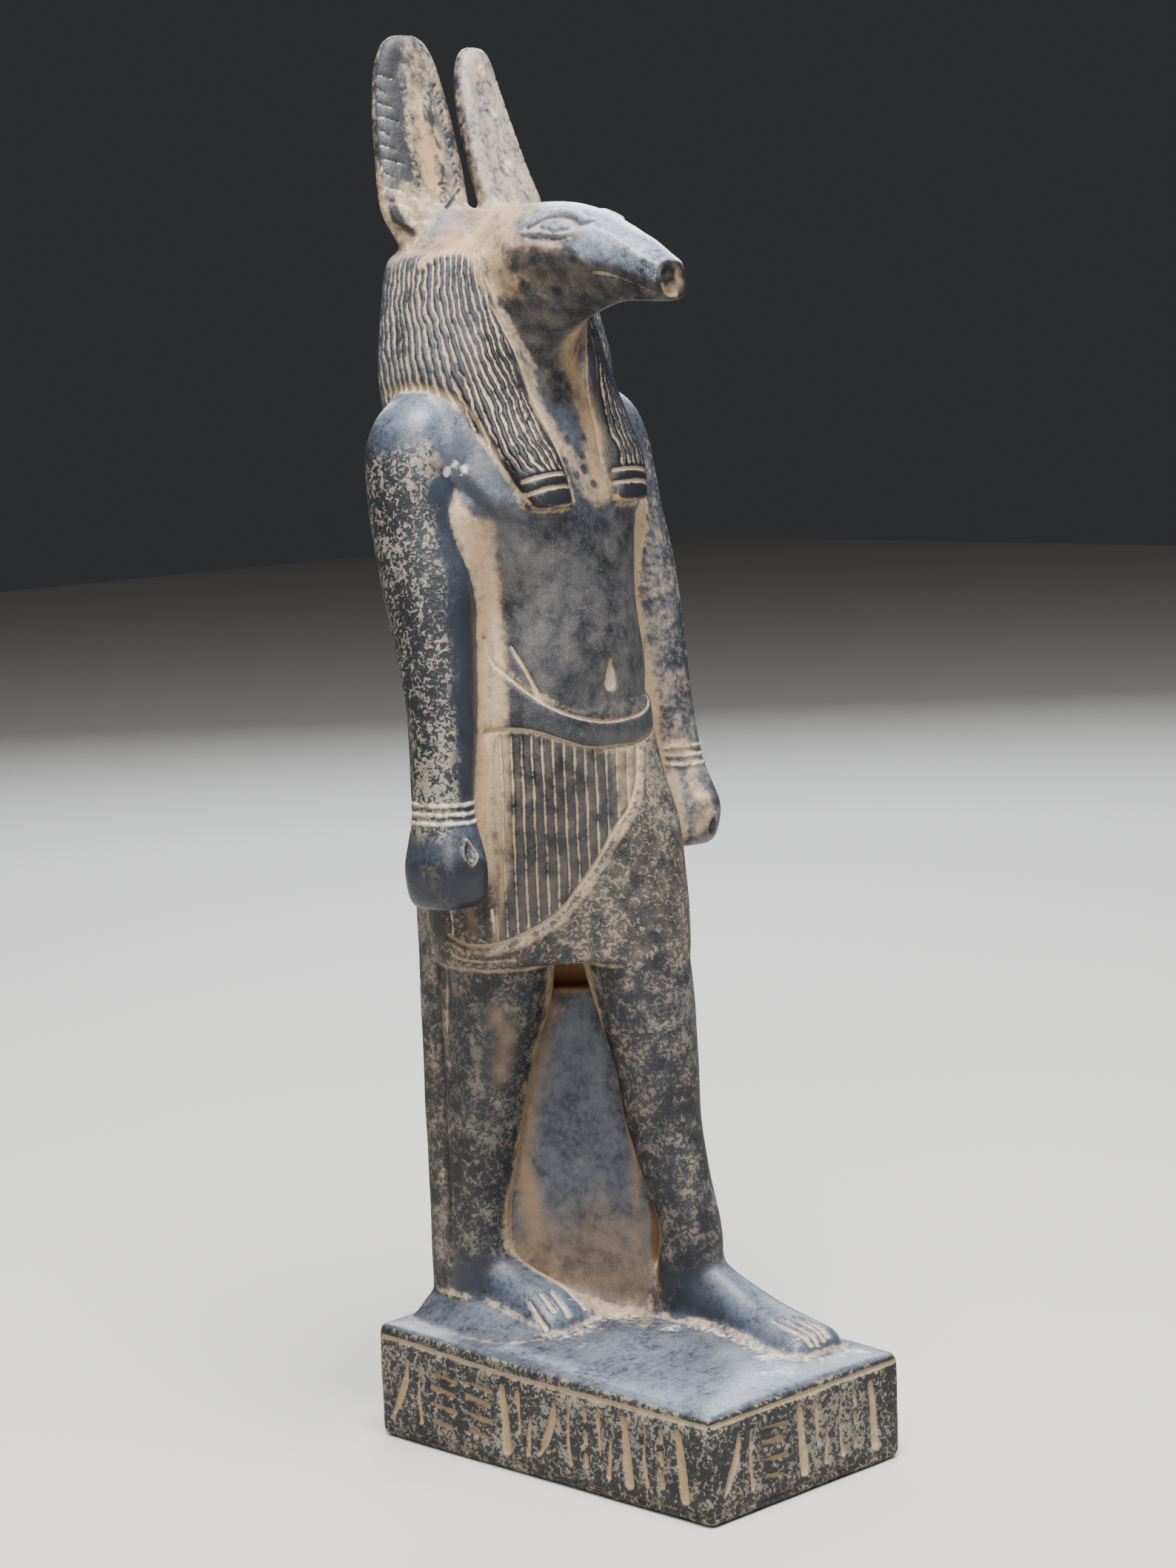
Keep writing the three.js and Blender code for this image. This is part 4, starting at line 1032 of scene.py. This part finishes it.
roundLeft = (
    (5.4, -10, 21), (5.1, -20, 20.6), (5.3, -28, 20), (7, -34.4, 19.6), (12, -36.2, 19.5), (18, -34.6, 19.4), (20.4, -26, 19.7))
roundRight = ((-13.4, 9, 21.4), (-11.6, 6.4, 21.4), (-8, 5.2, 21.5), (-3, 6, 21.8), (0.4, 9, 22))
for route in (roundLeft, roundRight):
    marks.stroke(route, 1.6, soft=3.5, chalk=0.55, sand=0.5)
scuffs = (
    ((2.1, 5.2, 22), 5), ((3.4, -29, 20), 5), ((-3.5, -34, 19.4), 3), ((-12.1, 0.6, 21.3), 2.5), ((0.6, -36, 19.4), 4),
    ((19, -37, 19), 3), ((2, -8, 21.6), 4))
for place, wide in scuffs:
    marks.dab(place, wide, soft=wide, chalk=0.62)
# a bluish polished strip along the near long edge of the plinth top: painted highlight
marks.stroke(((-20.2, 11.4, 20.9), (-21.3, -14, 19.8), (-21.8, -32.2, 19)), 2.5, soft=4, haze=1, polish=1)

# Plinth: a groove along the top and bottom of each side, and rows of plain strokes on the two seen sides

border = {"upper": 17.4, "upperBack": 18.7, "lower": 1.8, "wide": 0.8, "depth": -0.4}
halfWidth, halfDepth = plinth["width"] / 2, plinth["depth"] / 2


def onPlinth(side, place, height):  # side is the face's outward direction
    if side[0]:
        return (side[0] * halfWidth, place, height)
    return (place, side[1] * halfDepth, height)


for side, reach in (((-1, 0), halfDepth), ((1, 0), halfDepth), ((0, -1), halfWidth), ((0, 1), halfWidth)):
    for share in (0, 1):
        route = []
        for place in np.linspace(-reach + 1, reach - 1, 9):
            backward = place if side[0] else side[1] * halfDepth
            top = border["upper"] + (border["upperBack"] - border["upper"]) * smoothStep(backward, 5, halfDepth)
            route.append(onPlinth(side, place, border["lower"] + share * (top - border["lower"])))
        marks.stroke(route, border["wide"] * (0.7 + 0.5 * share), border["depth"], sand=0.85 if share else 0.5)

# a stroke is a route of (place along the row, share of its height), with its widths and depth
strokeGroups = {
    "bar": ((((-0.5, 0.93), (0.1, 0.5), (0.5, 0.07)), (1.7, 2.3, 2.8)),),
    "stack": tuple(
        (((-3.4 + lean, level), (3.3 - lean, level - 0.04)), widths) for lean, level, widths in (
            (0, 0.86, (0.6, 1.1)), (0.4, 0.66, (1.4, 0.8)), (0.2, 0.42, (0.7, 1.3)), (1.1, 0.18, (1.2, 0.6)))),
    "pair": ((((-1.5, 0.9), (-1.2, 0.35)), (1.5, 0.5)), (((1.5, 0.62), (0.7, 0.08)), (0.6, 1.5))),
    "column": tuple((((0, level), (0.2, level - 0.14)), (1.3, 1.0)) for level in (0.9, 0.6, 0.28)),
    "sweep": ((((-2.4, 0.12), (-0.6, 0.38), (1.0, 0.66), (1.6, 0.92)), (0.7, 2.2, 2.0, 0.8)),),
    "reed": ((((0.2, 0.9), (-0.1, 0.5), (0.3, 0.1)), (0.7, 0.9, 1.3)),),
}
strokeRows = {
    (-1, 0): (
        ("sweep", 35), ("reed", 30.4), ("stack", 24), ("stack", 14.9), ("bar", 8.4), ("pair", 3.4), ("sweep", -2.6),
        ("reed", -7.4), ("column", -11.5), ("pair", -16.2), ("bar", -21.4), ("reed", -25.8), ("column", -29.6),
        ("bar", -34.2)),
    (0, -1): (
        ("sweep", -18.6), ("reed", -14.2), ("stack", -8.2), ("bar", -1.3), ("pair", 4), ("reed", 8.8), ("column", 12.4),
        ("bar", 17.2)),
}
for side, groups in strokeRows.items():
    for kind, middle in groups:
        for route, widths in strokeGroups[kind]:
            flip = 1 if side[0] == 0 else -1
            laid = [onPlinth(side, middle + flip * place, 3.2 + 12.6 * level) for place, level in route]
            widths = [0.85 * wide for wide in widths]
            marks.stroke(laid, widths, -0.65, 0.5, sand=0.85, rust=0.5 if side[0] else 0.1)

# The hand of the carver all over: slight unevenness, worn edges, chips

spreadPoints = surface.points.copy()
for _ in range(12):
    spreadPoints = np.stack([surface.around(spreadPoints[:, axis]) for axis in range(3)], 1)
convex = smoothStep(((surface.points - spreadPoints) * surface.normals).sum(1) / meshing["voxel"], 0.35, 1.2)
chips = noiseOver(surface, 3.2, 5)
heights = marks.cut + marks.rise + 0.12 * lumps + 0.15 * patches
heights -= 0.45 * convex * np.clip(chips, 0, 1) * shares["plinth"]
heights += 0.35 * noiseOver(surface, 1.6, 6) * noseBreak
heights -= 0.12 * convex * np.clip(chips, 0, 1)
marks.tone(everywhere, convex * (1 - shares["plinth"]) * smoothStep(chips, 0, 0.3), chalk=0.3)
surface.raiseBy(heights)

for name, values in (*marks.tones.items(), ("strand", strand), ("lined", lined), ("narrow", narrow)):
    attribute = surface.mesh.attributes.new(name, "FLOAT", "POINT")
    attribute.data.foreach_set("value", values.astype(np.float32))


# Finish: thin out the flat stretches, bring the mesh to metres

def finishPiece(surface):
    mesh = surface.mesh
    whole = bpy.data.objects.new("whole", mesh)
    bpy.context.scene.collection.objects.link(whole)
    thin = whole.modifiers.new("Decimate", "DECIMATE")
    mesh.calc_loop_triangles()
    thin.ratio = min(1, meshing["triangles"] / len(mesh.loop_triangles))
    final = bpy.data.meshes.new_from_object(whole.evaluated_get(bpy.context.evaluated_depsgraph_get()))
    bpy.data.objects.remove(whole)
    final.transform(Matrix.Scale(mm, 4))
    final.shade_smooth()
    final.name = "carved_statue"
    piece = bpy.data.objects.new("carved_statue", final)
    bpy.context.scene.collection.objects.link(piece)
    return piece


print("finish")
piece = finishPiece(surface)
piece.data.calc_loop_triangles()
print(len(piece.data.loop_triangles), "triangles in the piece")
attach(piece, "root")
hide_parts("statue")


# Stone

# the dark colour also stands for painted shade, the bluish haze for painted sheen and painted light, and the brown and
# orange-brown partly for painted shade in hollows
stone = {  # colours of what is seen, from the bare stone to what lies on it
    "bare": (0.004, 0.0048, 0.0068), "blue": (0.015, 0.0195, 0.03), "speck": (0.04, 0.044, 0.054),
    "peened": (0.19, 0.165, 0.128), "dust": (0.08, 0.076, 0.071), "sand": (0.34, 0.255, 0.165),
    "rust": (0.25, 0.125, 0.055), "chalk": (0.52, 0.5, 0.45), "dark": (0.003, 0.003, 0.0035),
    "haze": (0.25, 0.29, 0.37), "stain": (0.19, 0.135, 0.085),
    "specular": 0.32,
}


class Shade:  # the output of a shader node, worked with like a number
    def __init__(self, finish, output):
        self.finish = finish
        self.output = output

    def sum(self, operation, *others):
        return self.finish.node("Math", {"operation": operation}, dict(enumerate((self, *others))))

    def __add__(self, other):
        return self.sum("ADD", other)

    def __sub__(self, other):
        return self.sum("SUBTRACT", other)

    def __mul__(self, other):
        return self.sum("MULTIPLY", other)

    def __rsub__(self, other):
        return self.finish.node("Math", {"operation": "SUBTRACT"}, {0: other, 1: self})

    __radd__ = __add__
    __rmul__ = __mul__

    def over(self, start, end):  # 0 below start, 1 above end
        settings = {"interpolation_type": "SMOOTHSTEP"}
        return self.finish.node("MapRange", settings, {"Value": self, "From Min": start, "From Max": end})


class Finish:  # a material while its nodes are laid
    def __init__(self, name):
        self.material = bpy.data.materials.new(name)
        self.material.use_nodes = True
        self.shader = self.material.node_tree.nodes["Principled BSDF"]
        coordinates = self.node("TexCoord", {}, {}, "Object")
        self.place = self.node("VectorMath", {"operation": "SCALE"}, {0: coordinates, "Scale": 1 / mm})

    def node(self, kind, settings, values, output=0):
        made = self.material.node_tree.nodes.new("ShaderNode" + kind)
        for name, value in settings.items():
            setattr(made, name, value)
        for name, value in values.items():
            self.feed(made.inputs[name], value)
        return Shade(self, made.outputs[output])

    def feed(self, socket, value):
        if isinstance(value, Shade):
            self.material.node_tree.links.new(value.output, socket)
        else:
            socket.default_value = value

    def noise(self, size, detail=3, rough=0.5, distortion=0):  # lumps about as wide as size, in millimetres
        values = {
            "Vector": self.place, "Scale": 1 / size, "Detail": detail, "Roughness": rough, "Distortion": distortion}
        return self.node("TexNoise", {}, values, "Fac")

    def tone(self, name):
        return self.node("Attribute", {"attribute_name": name}, {}, "Fac")

    def mix(self, share, first, second):
        first, second = ((*color, 1) if isinstance(color, tuple) else color for color in (first, second))
        return self.node("Mix", {"data_type": "RGBA"}, {0: share, 6: first, 7: second}, 2)


def cover(tone, grain, grit=1.3, edge=0.22):  # the share that a tone covers, broken up by a grain
    return (tone + (grain - 0.5) * grit).over(0.5 - edge, 0.5 + edge)


def stoneMaterial():
    finish = Finish("carved_stone")
    sand, rust, peen, polish, chalk, dark, dust, haze, stain = (finish.tone(name) for name in toneNames)
    broad = finish.noise(14, 3)
    patch = finish.noise(3.5, 4, 0.6)
    speck = finish.noise(1.1, 3, 0.65)
    fine = finish.noise(0.28, 2, 0.6)
    worm = finish.noise(0.95, 3, 0.62, 0.9)
    pecked = (worm + (broad - 0.5) * 0.35 + (patch - 0.5) * 0.25).over(0.5, 0.58)
    # polished places lean to the lighter blue: partly painted reflection
    bare = finish.mix((broad * 0.6 + patch * 0.4 + polish * 0.25).over(0.38, 0.8), stone["bare"], stone["blue"])
    color = finish.mix((fine - 0.5) * 0.5 + 0.1, bare, stone["speck"])
    color = finish.mix(dust * (patch * 0.6 + broad * 0.4).over(0.36, 0.64) * 0.8, color, stone["dust"])
    grit = (fine * 0.6 + speck * 0.4).over(0.5, 0.64)
    color = finish.mix(dust * grit * 0.3, color, stone["peened"])
    # the bluish film: partly dust and partly painted sheen and painted light
    hazeShare = haze * (patch * 0.2 + speck * 0.45 + fine * 0.15 + broad * 0.2).over(0.32, 0.58)
    color = finish.mix(hazeShare * 0.8, color, stone["haze"])
    peenShare = cover(peen, patch, 0.8, 0.35)
    color = finish.mix(peenShare * pecked * 0.85, color, stone["peened"])
    color = finish.mix(peenShare * (1 - pecked) * 0.5, color, stone["bare"])
    # dark stone and painted shade
    color = finish.mix(cover(dark, patch, 0.8, 0.35) * 0.8, color, stone["dark"])
    # brown: partly dirt and partly painted shade in hollows
    stainShare = (stain + (patch - 0.5) * 0.7).over(0.1, 1.0)
    color = finish.mix(stainShare * 0.85, color, stone["stain"])
    sandShare = cover(sand, patch * 0.5 + speck * 0.5, 1.6, 0.3)
    color = finish.mix(sandShare * 0.9, color, stone["sand"])
    # orange-brown: partly dirt and partly painted shade in hollows
    rustShare = cover(rust, patch * 0.6 + speck * 0.4, 1.0, 0.4)
    color = finish.mix(rustShare * 0.75, color, stone["rust"])
    wave = ((finish.tone("strand") + (speck - 0.5) * 0.16) * (2 * math.pi)).sum("COSINE")
    lined, narrow = finish.tone("lined"), finish.tone("narrow")
    groove = (wave - narrow * 0.5 - dark * 0.45 + (patch - 0.5) * 1.3).over(0.0, 0.5)
    color = finish.mix(lined * (1 - groove) * (0.6 - stainShare * 0.45), color, stone["bare"])
    grooveSand = groove * lined * (speck + patch).over(0.75, 1.05)
    color = finish.mix(grooveSand * 0.8, color, stone["sand"])
    chalkShare = cover(chalk, speck, 1.4, 0.25)
    color = finish.mix(chalkShare * 0.85, color, stone["chalk"])
    dusty = (sandShare + rustShare + chalkShare + stainShare).over(0, 1)
    roughness = 0.6 - polish * 0.3 + dusty * 0.3 + peenShare * 0.12 + (speck - 0.5) * 0.15
    height = worm * 1.4 * peenShare + speck * 0.5 + fine * 0.25 - groove * lined * 0.8
    bump = finish.node("Bump", {}, {"Strength": 0.7, "Distance": 0.28 * mm, "Height": height}, "Normal")
    finish.feed(finish.shader.inputs["Base Color"], color)
    finish.feed(finish.shader.inputs["Roughness"], roughness)
    finish.feed(finish.shader.inputs["Normal"], bump)
    finish.feed(finish.shader.inputs["Specular IOR Level"], stone["specular"])
    return finish.material


piece.data.materials.append(stoneMaterial())


# Floor, light and camera

studio = {
    "floorSize": 4000, "floorColor": (0.42, 0.41, 0.39),
    "cameraPlace": (-428.45, -424.35, 197.36), "heading": -44.883, "pitch": 7.371, "roll": 2.250,
    "focal": 4711,  # in pixels of a picture 2117 high
    "pictureHeight": 2117,
    "sensor": 36,
}


def makeFloor():
    bm = bmesh.new()
    bmesh.ops.create_grid(bm, x_segments=1, y_segments=1, size=studio["floorSize"] / 2 * mm)
    mesh = bpy.data.meshes.new("floor")
    bm.to_mesh(mesh)
    floor = bpy.data.objects.new("floor", mesh)
    bpy.context.scene.collection.objects.link(floor)
    material = bpy.data.materials.new("pale_floor")
    material.use_nodes = True
    shader = material.node_tree.nodes["Principled BSDF"]
    shader.inputs["Base Color"].default_value = (*studio["floorColor"], 1)
    shader.inputs["Roughness"].default_value = 0.8
    mesh.materials.append(material)


def makeCamera():
    heading, pitch, roll = (math.radians(studio[name]) for name in ("heading", "pitch", "roll"))
    ahead = Vector((
        -math.sin(heading) * math.cos(pitch), math.cos(heading) * math.cos(pitch), -math.sin(pitch)))
    level = Vector((math.cos(heading), math.sin(heading), 0))
    upright = level.cross(ahead)
    right = math.cos(roll) * level - math.sin(roll) * upright
    up = math.cos(roll) * upright + math.sin(roll) * level
    data = bpy.data.cameras.new("camera")
    data.sensor_width = studio["sensor"]
    data.lens = studio["focal"] / studio["pictureHeight"] * studio["sensor"]
    camera = bpy.data.objects.new("camera", data)
    camera.matrix_world = Matrix.Translation(Vector(studio["cameraPlace"]) * mm) @ Matrix((right, up, -ahead)).transposed().to_4x4()
    bpy.context.scene.collection.objects.link(camera)
    bpy.context.scene.camera = camera


def makeLight(name, place, aim, size, power, color):
    data = bpy.data.lights.new(name, "AREA")
    data.shape = "RECTANGLE"
    data.size, data.size_y = (side * mm for side in size)
    data.energy = power
    data.color = color
    light = bpy.data.objects.new(name, data)
    light.location = Vector(place) * mm
    light.rotation_euler = (Vector(aim) - Vector(place)).to_track_quat("-Z", "Y").to_euler()
    bpy.context.scene.collection.objects.link(light)


def makeWorld():
    world = bpy.data.worlds.new("studio")
    world.use_nodes = True
    world.node_tree.nodes["Background"].inputs["Color"].default_value = (0.8, 0.82, 0.86, 1)
    world.node_tree.nodes["Background"].inputs["Strength"].default_value = 0.04
    bpy.context.scene.world = world


print("studio")
makeFloor()
makeCamera()
makeLight("top", (-130, -170, 820), (0, 0, 120), (420, 420), 27, (1, 0.985, 0.96))
makeLight("key", (-520, -380, 520), (0, 0, 130), (300, 300), 5, (1, 0.97, 0.93))
makeLight("fill", (420, -520, 420), (0, 0, 120), (400, 400), 0.35, (0.9, 0.95, 1))
makeLight("sheen", (620, 620, 600), (0, 0, 100), (800, 400), 14, (0.86, 0.93, 1))
makeWorld()
